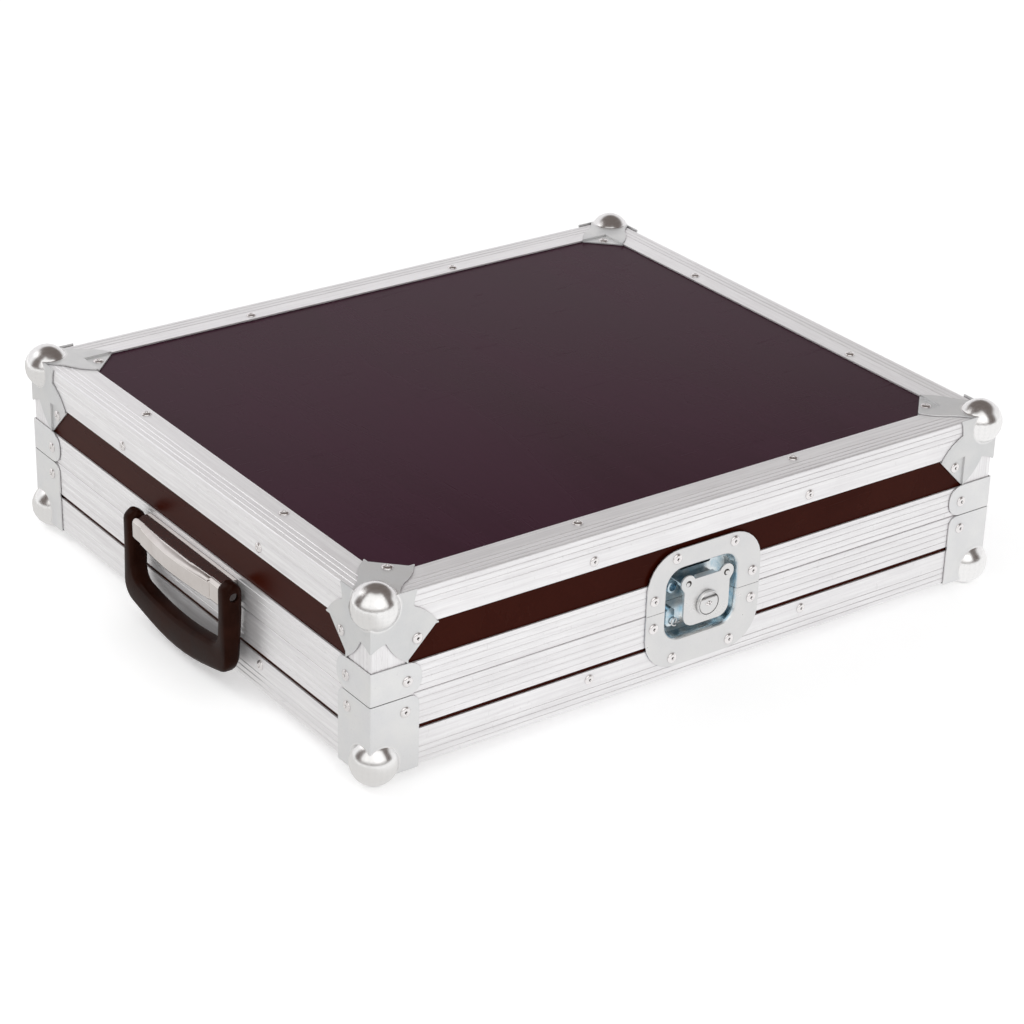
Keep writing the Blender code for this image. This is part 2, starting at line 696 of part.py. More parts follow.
def lower_dish_details(side_name, frame, dish):
    """A boss with a bore for the cam, which reaches past the split in front of the upper dish,
    and the pad on which a padlock's shackle rests."""
    name = f"latch_{side_name}_bearing"
    floor = -CUP_DEPTH
    base = floor + GAP
    step = base + BEARING_STEP
    profile = [(0.0, base + BEARING_HEIGHT), (BEARING_RADIUS, base + BEARING_HEIGHT), (BEARING_RADIUS, base),
               (0.0, base)]
    bearing = turned(name, profile, 24)
    foot = block(name, (-BEARING_RADIUS, -2 * BEARING_RADIUS, floor - GAP),
                 (BEARING_RADIUS, -2 * GAP - CAM_AXIS[1], step))
    boss = joined(name, [bearing, foot])
    boss.transform(Matrix.Translation((*CAM_AXIS, 0)))
    boolean(dish, cutter(name, boss, parent=frame), "UNION")
    radius = SPINDLE_RADIUS + ROD_CLEARANCE
    bore = turned(f"{name}_bore", [(0.0, 0.0), (radius, 0.0), (radius, step), (0.0, step)], 20)
    bore.transform(Matrix.Translation((*CAM_AXIS, 0)))
    boolean(dish, cutter(f"{name}_bore", bore, parent=frame))
    width, height, depth = STOP_PAD
    pad = plate(f"latch_{side_name}_pad", rounded_rectangle(width, height, width / 2 - GAP, 4),
                floor - GAP, floor + depth)
    pad.transform(Matrix.Translation((*STOP_PAD_PLACE, 0)))
    boolean(dish, cutter(f"latch_{side_name}_pad", pad, parent=frame), "UNION")


def upper_dish_details(side_name, frame, dish):
    """The keeper bar that the hook draws down on, the window over it and the eyelet for a padlock."""
    name = f"latch_{side_name}_keeper"
    floor = -CUP_DEPTH
    top = HOOK_REACH - HOOK_STEEL - 2 * ECCENTRICITY - KEEPER_GAP
    front = HOOK_REST_OUT - HOOK_TIP - KEEPER_CLEARANCE
    middle = CAM_AXIS[0]
    bar = block(name, (middle - KEEPER_WIDTH / 2, top - KEEPER_BAR, floor - GAP),
                (middle + KEEPER_WIDTH / 2, top, front))
    boolean(dish, cutter(name, bar, parent=frame), "UNION")
    outer, inner, height = EYELET
    profile = [(inner, floor + height), (outer, floor + height), (outer, floor - GAP), (inner, floor - GAP)]
    eyelet = turned(f"latch_{side_name}_eyelet", [*profile, profile[0]], 20)
    eyelet.transform(Matrix.Translation((*EYELET_PLACE, 0)))
    boolean(dish, cutter(f"latch_{side_name}_eyelet", eyelet, parent=frame), "UNION")
    width, height = WINDOW
    roof = CUP_CENTRE[1] + CUP_MOUTH[1] / 2 - WINDOW_EDGE
    window = plate(f"latch_{side_name}_window", rounded_rectangle(width, height, height / 4, 3),
                   floor - CUP_DEPTH / 2, floor + CUP_DEPTH / 2)
    window.transform(Matrix.Translation((middle, roof - height / 2, 0)))
    boolean(dish, cutter(f"latch_{side_name}_window", window, parent=frame))


def hook_outline():
    """The draw plate: two round ears, a waist, round lower corners and the edge between the ears
    where the hook bends in."""
    ear_x, ear_height = HOOK_EAR
    ear_round = ear_height / 2
    ear_y = HOOK_TOP - ear_round
    stop = 180 - math.degrees(math.asin((HOOK_REACH - ear_y) / ear_round))
    right = arc((HOOK_WAIST - HOOK_ROUND, HOOK_BOTTOM + HOOK_ROUND), HOOK_ROUND, 270, 360, 5)
    right += [(HOOK_WAIST, HOOK_TOP - ear_height)]
    right += arc((ear_x - ear_round, ear_y), ear_round, -45, stop, 9)
    return right + [(-x, y) for x, y in reversed(right)]


def latch_hook(side_name, frame):
    """The draw plate with its bent hook, shown released: up and out of the keeper."""
    name = f"latch_{side_name}_hook"
    back = HOOK_REST_OUT
    body = plate(name, hook_outline(), back, back + HOOK_STEEL)
    half = HOOK_ARM / 2
    tip = block(name, (-half, HOOK_REACH - HOOK_STEEL, back - HOOK_TIP), (half, HOOK_REACH, back + GAP))
    hook = place(name, joined(name, [body, tip]), ZINC, (CAM_AXIS[0], 0, 0), parent=frame)
    travel = ECCENTRICITY + GAP
    slot = [(x + travel, y) for x, y in arc((0, 0), ECCENTRIC_RADIUS + ECCENTRIC_PLAY, -90, 90, 10)]
    slot += [(-x, y) for x, y in reversed(slot)]
    mesh = plate(f"{name}_slot", slot, back - HOOK_STEEL, back + 2 * HOOK_STEEL)
    centre = (CAM_AXIS[0], CAM_AXIS[1] + ECCENTRICITY, 0)
    boolean(hook, cutter(f"{name}_slot", mesh, centre, parent=frame))


def latch_cam(side_name, frame):
    """Spindle, eccentric disc and the round head in front of the draw plate, with the wing's well."""
    name = f"latch_{side_name}_cam"
    base = -CUP_DEPTH + GAP + BEARING_STEP + GAP
    shelf = -CUP_DEPTH + GAP + BEARING_HEIGHT + GAP
    back = HOOK_REST_OUT + HOOK_STEEL + GAP
    front = back + HEAD_DEPTH
    well = back + HEAD_FLOOR
    inner = HEAD_RADIUS - HEAD_WALL
    spindle = turned(name, [(0.0, shelf + GAP), (SPINDLE_RADIUS, shelf + GAP), (SPINDLE_RADIUS, base),
                            (0.0, base)], 20)
    disc = turned(name, [(0.0, back + GAP), (ECCENTRIC_RADIUS, back + GAP), (ECCENTRIC_RADIUS, shelf),
                         (0.0, shelf)], 24)
    disc.transform(Matrix.Translation((0, ECCENTRICITY, 0)))
    head = turned(name, [(0.0, well), (inner, well), (inner, front), (HEAD_RADIUS - GAP, front),
                         (HEAD_RADIUS, front - GAP), (HEAD_RADIUS, back), (0.0, back)], 32)
    cam = place(name, joined(name, [spindle, disc, head]), ZINC, (*CAM_AXIS, 0), parent=frame)
    smooth(cam)


def latch_wing(side_name, frame):
    """The thumb wing that folds flat into the head, hung on an axle above the middle."""
    name = f"latch_{side_name}_wing"
    well = HOOK_REST_OUT + HOOK_STEEL + GAP + HEAD_FLOOR
    place_of_axle = (CAM_AXIS[0], CAM_AXIS[1] + WING_AXLE, well + GAP + WING_THICKNESS / 2)
    axle = empty(f"latch_{side_name}_wing_axle", place_of_axle, parent=frame)
    top = math.degrees(math.asin(WING_AXLE / WING_RADIUS))
    outline = arc((0, -WING_AXLE), WING_RADIUS, 180 - top, 360 + top, 20)
    half = WING_THICKNESS / 2
    leaf = plate(name, outline, -half, half)
    radius = WING_THICKNESS / 2
    reach = math.sqrt(WING_RADIUS ** 2 - WING_AXLE ** 2)
    hinge = turned(name, [(0.0, reach), (radius, reach), (radius, -reach), (0.0, -reach)], 12)
    hinge.transform(Matrix.Rotation(math.pi / 2, 4, "Y"))
    wing = place(name, joined(name, [leaf, hinge]), ZINC, parent=axle)
    smooth(wing)


def latches():
    """The same latch in front and, turned round, at the back."""
    for side in (0, 2):
        side_name = SIDES[side]
        frame = empty(f"latch_{side_name}_frame", side_place(side, LATCH_SHIFT, height=SPLIT_HEIGHT),
                      (math.pi / 2, 0, side * math.pi / 2), case_frame)
        latch_dishes(side_name, frame)
        latch_hook(side_name, frame)
        latch_cam(side_name, frame)
        latch_wing(side_name, frame)


def grip_stations():
    """Pairs of inner and outer points along half of the grip, from the arm's top to the bar's
    middle, seen from outside with the pivot at zero, each with the part of its full depth."""
    outer = GRIP_WIDTH / 2
    inner = outer - ARM_WIDTH
    bar_top = -GRIP_OPENING
    bar_bottom = bar_top - GRIP_BAR
    stations = []
    for turn in (72, 54, 36, 18, 0):
        height = ARM_TOP - GRIP_DEPTH / 2 * (1 - math.sin(math.radians(turn)))
        share = math.cos(math.radians(turn))
        pinch = ARM_WIDTH / 5 * (1 - share)
        stations.append(((inner + pinch, height), (outer - pinch, height), share))
    stations.append(((inner, bar_top + 2 * GRIP_INNER_CORNER), (outer, bar_top + 2 * GRIP_INNER_CORNER), 1.0))
    around = 6
    tilt = GRIP_CORNER_TILT
    drop = math.cos(math.radians(tilt)) * GRIP_CORNER
    inside = arc((inner - GRIP_INNER_CORNER, bar_top + GRIP_INNER_CORNER), GRIP_INNER_CORNER, 0, -90, around)
    outside = arc((outer - GRIP_CORNER, bar_bottom + drop), GRIP_CORNER, 0, tilt - 90, around)
    stations += [(first, second, 1.0) for first, second in zip(inside, outside)]
    end_in = inside[-1][0]
    end_out = outside[-1][0]
    for i in range(1, 6):
        rest = 1 - i / 5
        bow = math.cos(rest * math.pi / 2)
        stations.append(((end_in * rest, bar_top - GRIP_INNER_BOW * bow),
                         (end_out * rest, bar_bottom - GRIP_BOW * bow), 1.0))
    return stations


def grip_ring(inner, outer, share):
    """A round-cornered ring across the grip, from front to back and from its inner to its outer edge,
    shallower towards the bar, where the back of the grip leans away from the case."""
    inner = Vector(inner)
    outer = Vector(outer)
    middle = (inner + outer) / 2
    across = (outer - inner).normalized()
    depth = GRIP_DEPTH * share
    radius = min(GRIP_SOFTNESS, depth / 2 - GAP)
    ring = []
    for along, out in rounded_rectangle((outer - inner).length, depth, radius, 3):
        x, height = middle + across * along
        taper = GRIP_TAPER * min(max((-GRIP_TAPER_START - height) / GRIP_OPENING, 0.0), 1.0)
        ring.append((x, height, GRIP_DEPTH / 2 - (GRIP_DEPTH / 2 - out) * (1 - taper)))
    return ring


def handle_grip(frame):
    """The moulded grip, hanging from the rod ends."""
    name = "handle_grip"
    half = [grip_ring(*station) for station in grip_stations()]
    mirrored = [[(-x, height, out) for x, height, out in ring] for ring in reversed(half[:-1])]
    grip = place(name, loft(name, half + mirrored), PLASTIC, parent=frame)
    radius = ROD_RADIUS + ROD_CLEARANCE
    bore = turned("handle_bore", [(0.0, GRIP_WIDTH), (radius, GRIP_WIDTH), (radius, -GRIP_WIDTH),
                                  (0.0, -GRIP_WIDTH)], 20)
    bore.transform(Matrix.Rotation(math.pi / 2, 4, "Y"))
    boolean(grip, cutter("handle_bore", bore, parent=frame))
    smooth(grip)


def canopy_section(bulge):
    """The bracket's outer line from the wall over the flat top and round the front to its lower lip."""
    low = BRACKET_BOTTOM
    high = BRACKET_TOP
    depth = BRACKET_DEPTH - BRACKET_STEP
    points = [(GAP, high), (BRACKET_ROUND, high)]
    points += arc((depth - BRACKET_ROUND, high - BRACKET_ROUND), BRACKET_ROUND, 80, 0, 4)
    points += arc((BRACKET_LIP, low + BRACKET_LIP_ROUND), depth - BRACKET_LIP, 0, -60, 3)
    points += [(BRACKET_LIP, low)]
    flat = depth - BRACKET_ROUND
    return [(out + bulge * min(max(0.0, (out - flat) / BRACKET_ROUND), 1.0), height) for out, height in points]


def canopy_stations(half):
    """Places along the bracket and how far its front bulges there: plain tube ends, a step, and
    the leaf between them."""
    leaf = half - BRACKET_END
    stations = [(-half, 0.0), (-leaf - BRACKET_STEP, 0.0)]
    steps = 12
    for i in range(steps + 1):
        along = leaf * (2 * i / steps - 1)
        bow = math.cos(along / leaf * math.pi / 2)
        stations.append((along, BRACKET_STEP + BRACKET_BULGE * bow))
    return stations + [(leaf + BRACKET_STEP, 0.0), (half, 0.0)]


def handle_bracket(frame):
    """The chromed bracket: wall plate, bulged canopy, end cheeks and the rod through them."""
    name = "handle_bracket"
    half = GRIP_WIDTH / 2 - ARM_WIDTH - BRACKET_CLEARANCE
    middle = PIVOT_OUT
    work = bmesh.new()
    rows = []
    for along, bulge in canopy_stations(half):
        rows.append([work.verts.new((along, height, out - middle)) for out, height in canopy_section(bulge)])
    for row, following in zip(rows, rows[1:]):
        for i in range(len(row) - 1):
            work.faces.new((row[i], row[i + 1], following[i + 1], following[i]))
    canopy_mesh = bpy.data.meshes.new(name)
    work.to_mesh(canopy_mesh)
    work.free()
    canopy = bpy.data.objects.new(name, canopy_mesh)
    case.objects.link(canopy)
    skin = canopy.modifiers.new("steel", "SOLIDIFY")
    skin.thickness = BRACKET_STEEL
    skin.offset = -1.0
    graph = bpy.context.evaluated_depsgraph_get()
    shell = bpy.data.meshes.new_from_object(canopy.evaluated_get(graph))
    bpy.data.objects.remove(canopy)
    low = BRACKET_BOTTOM
    high = BRACKET_TOP - GAP
    wall = block(name, (-half, low, GAP - middle), (half, high, GAP + BRACKET_STEEL - middle))
    side = [(out - middle, height) for out, height in canopy_section(0.0)]
    side = [(x - GAP if x > 0 else x, min(y, high)) for x, y in side] + [(GAP - middle, low)]
    cheeks = []
    for end in (-1, 1):
        cheek = plate(name, side, 0.0, BRACKET_STEEL)
        cheek.transform(Matrix(((0, 0, 1, 0), (0, 1, 0, 0), (1, 0, 0, 0), (0, 0, 0, 1))))
        cheek.flip_normals()
        start = -half if end < 0 else half - BRACKET_STEEL
        cheek.transform(Matrix.Translation((start, 0, 0)))
        cheeks.append(cheek)
    reach = GRIP_WIDTH / 2 - ROD_RECESS
    rod = turned(name, [(0.0, reach), (ROD_RADIUS, reach), (ROD_RADIUS, -reach), (0.0, -reach)], 20)
    rod.transform(Matrix.Rotation(math.pi / 2, 4, "Y"))
    bracket = place(name, joined(name, [shell, wall, *cheeks, rod]), CHROME, parent=frame)
    smooth(bracket)


def handle():
    """Bracket and grip on the lid's left rim, in a frame whose zero is the pivot."""
    pivot = side_place(3, -HANDLE_SHIFT, -PIVOT_OUT, SPLIT_HEIGHT + PIVOT_ABOVE_SPLIT)
    frame = empty("handle_pivot", pivot, (math.pi / 2, 0, 3 * math.pi / 2), case_frame)
    handle_bracket(frame)
    handle_grip(frame)


def foam():
    """The lining of base and lid: a block with a pocket for the sampler and room for the cups."""
    x = CASE_LENGTH / 2 - RIM_THICKNESS - GAP
    y = CASE_WIDTH / 2 - RIM_THICKNESS - GAP
    floor = PANEL_IN + FOAM_STANDOFF
    roof = CASE_HEIGHT - PANEL_IN - FOAM_STANDOFF
    pocket = rounded_rectangle(2 * (x - FOAM_SIDE), 2 * (y - FOAM_SIDE), FOAM_ROUND, 4)
    room = CUP_DEPTH + LATCH_STEEL + FOAM_POCKET
    wide = CUP_HALF[0] + FOAM_POCKET
    high = CUP_HALF[1] + FOAM_POCKET
    spans = {"base": (floor, SPLIT_HEIGHT - GAP, floor + FOAM_FLOOR, SPLIT_HEIGHT + GAP),
             "lid": (SPLIT_HEIGHT + GAP, roof, SPLIT_HEIGHT - GAP, roof - FOAM_ROOF)}
    for part, (low, top, pocket_low, pocket_top) in spans.items():
        name = f"{part}_foam"
        lining = place(name, block(name, (-x, -y, low), (x, y, top)), FOAM)
        boolean(lining, cutter(f"{name}_pocket", plate(f"{name}_pocket", pocket, pocket_low, pocket_top)))
        for side in (0, 2):
            guide = block(f"{name}_cup_{side}", (-wide, -GAP, -high), (wide, room, high))
            boolean(lining, cutter(f"{name}_cup_{SIDES[side]}", guide, cup_place(side),
                                   (0, 0, side * math.pi / 2)))


cup_holes = latch_opening()
panels(cup_holes)
edges(cup_holes)
rims()
corners()
latches()
handle()
foam()
bpy.context.view_layer.update()
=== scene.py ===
import math

import bmesh
import bpy
from mathutils import Matrix, Vector


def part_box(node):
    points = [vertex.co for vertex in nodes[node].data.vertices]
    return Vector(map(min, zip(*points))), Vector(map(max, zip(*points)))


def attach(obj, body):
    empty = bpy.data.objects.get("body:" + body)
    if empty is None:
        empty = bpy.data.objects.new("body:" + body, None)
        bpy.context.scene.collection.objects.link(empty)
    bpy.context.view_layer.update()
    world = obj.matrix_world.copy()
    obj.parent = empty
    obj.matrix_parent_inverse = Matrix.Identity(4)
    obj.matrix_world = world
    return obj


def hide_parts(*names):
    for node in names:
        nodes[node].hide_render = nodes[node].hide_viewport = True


# The looks of a shallow flight case: materials, rivets, small latch parts, foam linings, studio and
# camera. Metres throughout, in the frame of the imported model. The front is at the lowest Y.

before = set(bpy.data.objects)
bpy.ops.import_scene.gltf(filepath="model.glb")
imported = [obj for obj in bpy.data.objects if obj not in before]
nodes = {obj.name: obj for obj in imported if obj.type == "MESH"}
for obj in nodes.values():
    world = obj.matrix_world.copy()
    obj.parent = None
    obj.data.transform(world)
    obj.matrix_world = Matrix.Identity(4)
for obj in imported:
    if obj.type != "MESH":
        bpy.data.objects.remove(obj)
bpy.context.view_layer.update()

# Planes of the case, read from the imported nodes
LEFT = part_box("lid_edge_left")[0].x
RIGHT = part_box("lid_edge_right")[1].x
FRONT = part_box("lid_edge_front")[0].y
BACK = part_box("lid_edge_back")[1].y
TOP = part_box("lid_edge_front")[1].z
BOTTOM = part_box("base_edge_front")[0].z
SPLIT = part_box("base_rim_left")[1].z
MIDDLE = Vector(((LEFT + RIGHT) / 2, (FRONT + BACK) / 2, BOTTOM))
HALF_LENGTH = (RIGHT - LEFT) / 2
HALF_WIDTH = (BACK - FRONT) / 2
HEIGHT = TOP - BOTTOM

# How far the fittings' sheet metal stands out of the case's faces. The tabs of the lid's ball corners
# are pressed down to a little below them.
PLATE_OUT = 0.0015
TAB_OUT = -0.0003

# The ball corners. The centre of each ball is as far inside all three faces.
BALL_RADIUS = 0.0188
BALL_INSET = BALL_RADIUS - (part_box("lid_ball_corner_front_left")[1].z - TOP)
BALL_LEVELS = (BOTTOM + BALL_INSET, TOP - BALL_INSET)
BALLS = [(HALF_LENGTH - BALL_INSET, HALF_WIDTH - BALL_INSET, level) for level in BALL_LEVELS]

# The punch mark on each leg of a brace, in from the case's corner and up from its bottom
MARK_IN = 0.0165
MARK_UP = 0.0745
BRACE_MARKS = [(HALF_LENGTH + PLATE_OUT, HALF_WIDTH - MARK_IN, BOTTOM + MARK_UP),
               (HALF_LENGTH - MARK_IN, HALF_WIDTH + PLATE_OUT, BOTTOM + MARK_UP)]
MARK_RADIUS = 0.0008
MARK_DEPTH = 0.0007

# Rivets: radius, height and the radius of the hole in the dome
RIVET_SEGMENTS = 22
RIVET_SINK = 0.0006
EDGE_RIVET = (0.0042, 0.0016, 0.0012)
STAR_RIVET = (0.0045, 0.0015, 0.0013)
CORNER_RIVET = (0.0045, 0.0016, 0.0013)
LATCH_RIVET = (0.0045, 0.0017, 0.0013)

# Where they stand: in from the case's edges, and the turn of each broken pin by its place
EDGE_RIVET_IN = 0.0225
EDGE_RIVET_ALONG = {"front": 0.106, "back": 0.106, "left": 0.1055, "right": 0.1055}
EDGE_RIVET_TURN = 37
STAR_RIVET_IN = 0.0403
BRACE_RIVET_IN = 0.0310
BRACE_RIVET_UP = 0.0738
FOOT_RIVET_IN = 0.0292
FOOT_RIVET_UP = 0.0487

# The latch: how far it stands beside the middle of the case, its rivets beside its own middle and
# above or below the split, and the ears of the draw plate
LATCH_SHIFT = 0.0020
LATCH_RIVETS = ((0.0285, 0.0433), (0.0485, 0.0120))
LATCH_RIVET_TURN = 40
EAR_ASIDE = 0.0188
EAR_BELOW_TOP = 0.0072

# Turned profiles of the latch's small parts: radius and height, from the middle of the underside
# The ear's hole is a flat dark disc of painted shade.
EAR_HOLE = ((0.0, -0.0004), (0.0027, -0.0004), (0.0027, 0.00004), (0.0, 0.00005))
EAR_PIN = ((0.0, -0.0004), (0.0019, -0.0004), (0.0019, 0.0002), (0.0014, 0.0005), (0.0, 0.0006))
EAR_PIN_ASIDE = 0.0006
EAR_PIN_DOWN = 0.0005
STUD = ((0.0, -0.0003), (0.0021, -0.0003), (0.0023, 0.0001), (0.0018, 0.0007), (0.0009, 0.0010),
        (0.0, 0.0011))
STUD_LOBE = ((0.0, -0.0003), (0.0014, -0.0003), (0.0015, 0.0001), (0.0010, 0.0008), (0.0, 0.0011))
STUD_LOBE_ASIDE = 0.0017
STUD_LOBE_SCALE = (1.15, 0.85, 1.0, 1.0)
# The stud's punched middle is a small dark disc of painted shade.
STUD_PUNCH = ((0.0, -0.0002), (0.0006, -0.0002), (0.0006, 0.00025), (0.0, 0.00028))
STUD_PUNCH_OUT = 0.0009

# The latch spring's free leg: a coil of wire low in the dish, beside the draw plate
SPRING_WIRE = 0.00055
SPRING_STEPS = 25
SPRING_START = -60
SPRING_STEP = 14.5
SPRING_RADIUS = 0.0024
SPRING_GROWTH = 0.00004
SPRING_ASIDE = 0.0243
SPRING_UP = 0.0028
SPRING_OUT = -0.0052
SPRING_RISE = 0.00008
SPRING_END = (0.0168, -0.0010, -0.0075)

# Foam: the mesh's grid, the skin by which it clears its neighbours, how far the worked face stays in
# from the case's sides, the waves in the lid and the settled floor in the base
FOAM_GRID = 0.0055
FOAM_SKIN = 0.0006
FOAM_WALL = 0.0502
FOAM_FADE = 0.020
CRATE_PITCH = 0.042
CRATE_DEPTH = 0.0095
SETTLING = 0.0008

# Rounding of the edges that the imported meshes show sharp
PANEL_EDGE = 0.0002
EXTRUSION_EDGE = 0.00012
SHEET_EDGE = 0.0003
DISH_EDGE = 0.0004
BRACKET_EDGE = 0.0004
ROUNDED_FROM = math.radians(38)
SHARP_FROM = math.radians(32)
FLAT_WITHIN = math.radians(0.5)

# The camera of the photograph, fitted to the straight edges of the case
CAMERA_PLACE = (-1.28015, -1.7619, 1.1265)
CAMERA_AIM = (0.52944547, 0.7211854, -0.44674278)
CAMERA_ROLL = math.radians(1.715)
CAMERA_LENS = 101.18

# Light: the world's level where it lights, the floor's own glow where it is seen, and the lamps
WORLD_LEVEL = 0.75
FLOOR_GLOW = 0.30
FLOOR_COLOR = (0.93, 0.93, 0.93)
FLOOR_HALF = 12.0
LAMP_AIM = (0, 0, 0.1)

# What shows in gloss: the dome's radius, and levels of the studio's dark ceiling, its pale back wall,
# the bright opening round the camera, and the paper in front and on the left of the case
DOME_RADIUS = 1.3
TURNS = range(-180, 180, 4)
RISES = range(0, 87, 3)
PAPER_REACHES = (0.05, 0.15, 0.30, 0.45, 0.60, 0.80, 1.05, 1.29)
PAPER_HEIGHT = 0.002
STUDIO_WHITE = (1.0, 1.0, 1.0)
STUDIO_DARK = (0.15, 0.125, 0.115)
STUDIO_PALE = (0.90, 0.885, 0.895)
STUDIO_BRIGHT = (1.10, 1.09, 1.08)
CEILING_TILT = 0.2
TILT_WITHIN = 30
PAPER_FRONT = (1.0, 0.995, 0.995)
PAPER_LEFT = (0.76, 0.75, 0.74)


# Materials

class Look:
    """A node material: a Principled shader, object coordinates and short ways to add nodes."""

    def __init__(self, name, color, roughness, metallic=0.0, **constants):
        self.material = bpy.data.materials.new(name)
        self.material.use_nodes = True
        self.tree = self.material.node_tree
        self.shader = self.tree.nodes["Principled BSDF"]
        self.shader.inputs["Base Color"].default_value = (*color, 1.0)
        self.shader.inputs["Roughness"].default_value = roughness
        self.shader.inputs["Metallic"].default_value = metallic
        for socket, value in constants.items():
            self.shader.inputs[socket.replace("_", " ")].default_value = value
        self.place = self.tree.nodes.new("ShaderNodeTexCoord").outputs["Object"]

    def link(self, source, socket):
        """Feeds a node's output, or sets a constant."""
        if isinstance(source, bpy.types.NodeSocket):
            self.tree.links.new(source, socket)
        else:
            socket.default_value = source

    def stretched(self, scale):
        """Object coordinates, scaled along each axis."""
        node = self.tree.nodes.new("ShaderNodeMapping")
        node.inputs["Scale"].default_value = scale
        self.link(self.place, node.inputs["Vector"])
        return node.outputs["Vector"]

    def noise(self, scale, detail=3.0, roughness=0.5, stretch=(1, 1, 1), distortion=0.0):
        """Cloudy noise from about 0.3 to 0.7."""
        node = self.tree.nodes.new("ShaderNodeTexNoise")
        node.inputs["Scale"].default_value = scale
        node.inputs["Detail"].default_value = detail
        node.inputs["Roughness"].default_value = roughness
        node.inputs["Distortion"].default_value = distortion
        self.link(self.stretched(stretch), node.inputs["Vector"])
        return node.outputs["Fac"]

    def cells(self, scale, output="Distance"):
        """Irregular cells: the distance to the middle of each, or a colour for each."""
        node = self.tree.nodes.new("ShaderNodeTexVoronoi")
        node.inputs["Scale"].default_value = scale
        self.link(self.place, node.inputs["Vector"])
        return node.outputs[output]

    def span(self, value, low, high, to_low=0.0, to_high=1.0):
        """Maps a range of values to another, clamped."""
        node = self.tree.nodes.new("ShaderNodeMapRange")
        for socket, amount in zip(("Value", "From Min", "From Max", "To Min", "To Max"),
                                  (value, low, high, to_low, to_high)):
            self.link(amount, node.inputs[socket])
        return node.outputs["Result"]

    def math(self, operation, first, second):
        """One sum, product or the like."""
        node = self.tree.nodes.new("ShaderNodeMath")
        node.operation = operation
        self.link(first, node.inputs[0])
        self.link(second, node.inputs[1])
        return node.outputs["Value"]

    def part(self, value, share):
        """A share of a value."""
        return self.math("MULTIPLY", value, share)

    def mix(self, factor, first, second):
        """Mixes two colours, each a triple or an output."""
        node = self.tree.nodes.new("ShaderNodeMix")
        node.data_type = "RGBA"
        self.link(factor, node.inputs["Factor"])
        for index, color in ((6, first), (7, second)):
            self.link((*color, 1.0) if isinstance(color, tuple) else color, node.inputs[index])
        return node.outputs[2]

    def crevice(self, distance, low, high):
        """How deep a place lies in a groove or against a neighbour, by ambient occlusion: 0 in the open,
        1 inside. It masks painted shade.
        """
        node = self.tree.nodes.new("ShaderNodeAmbientOcclusion")
        node.samples = 8
        node.inputs["Distance"].default_value = distance
        return self.span(node.outputs["AO"], high, low)

    def vector(self, operation, first, second=None):
        """A vector node's output, for a place and a constant."""
        node = self.tree.nodes.new("ShaderNodeVectorMath")
        node.operation = operation
        self.link(first, node.inputs[0])
        if second is not None:
            node.inputs[1].default_value = second
        return node.outputs["Value" if operation == "DISTANCE" else "Vector"]

    def near(self, points, radius, soft):
        """1 within a radius of any of the points, falling to 0 over a soft border. The points are
        given from the middle of the case, and count in all four quarters of its plan."""
        centred = self.vector("SUBTRACT", self.place, (MIDDLE.x, MIDDLE.y, 0.0))
        quarter = self.vector("ABSOLUTE", centred)
        result = None
        for point in points:
            away = self.vector("DISTANCE", quarter, point)
            mask = self.span(away, radius, radius + soft, 1.0, 0.0)
            result = mask if result is None else self.math("MAXIMUM", result, mask)
        return result

    def beyond(self, axis, middle, low, high):
        """0 to 1 as the distance from a middle plane across an axis goes from low to high."""
        split = self.tree.nodes.new("ShaderNodeSeparateXYZ")
        self.link(self.place, split.inputs[0])
        away = self.math("ABSOLUTE", self.math("SUBTRACT", split.outputs[axis], middle), 0.0)
        return self.span(away, low, high)

    def color(self, source):
        self.link(source, self.shader.inputs["Base Color"])

    def rough(self, source):
        self.link(source, self.shader.inputs["Roughness"])

    def metal(self, source):
        self.link(source, self.shader.inputs["Metallic"])

    def bump(self, height, distance, strength=1.0):
        """Adds a bump over what is there already."""
        node = self.tree.nodes.new("ShaderNodeBump")
        node.inputs["Strength"].default_value = strength
        node.inputs["Distance"].default_value = distance
        self.link(height, node.inputs["Height"])
        normal = self.shader.inputs["Normal"]
        if normal.links:
            self.link(normal.links[0].from_socket, node.inputs["Normal"])
        self.link(node.outputs["Normal"], normal)


def shaded(color, factor):
    """A colour made darker or lighter, at most 1."""
    return tuple(min(1.0, factor * part) for part in color)


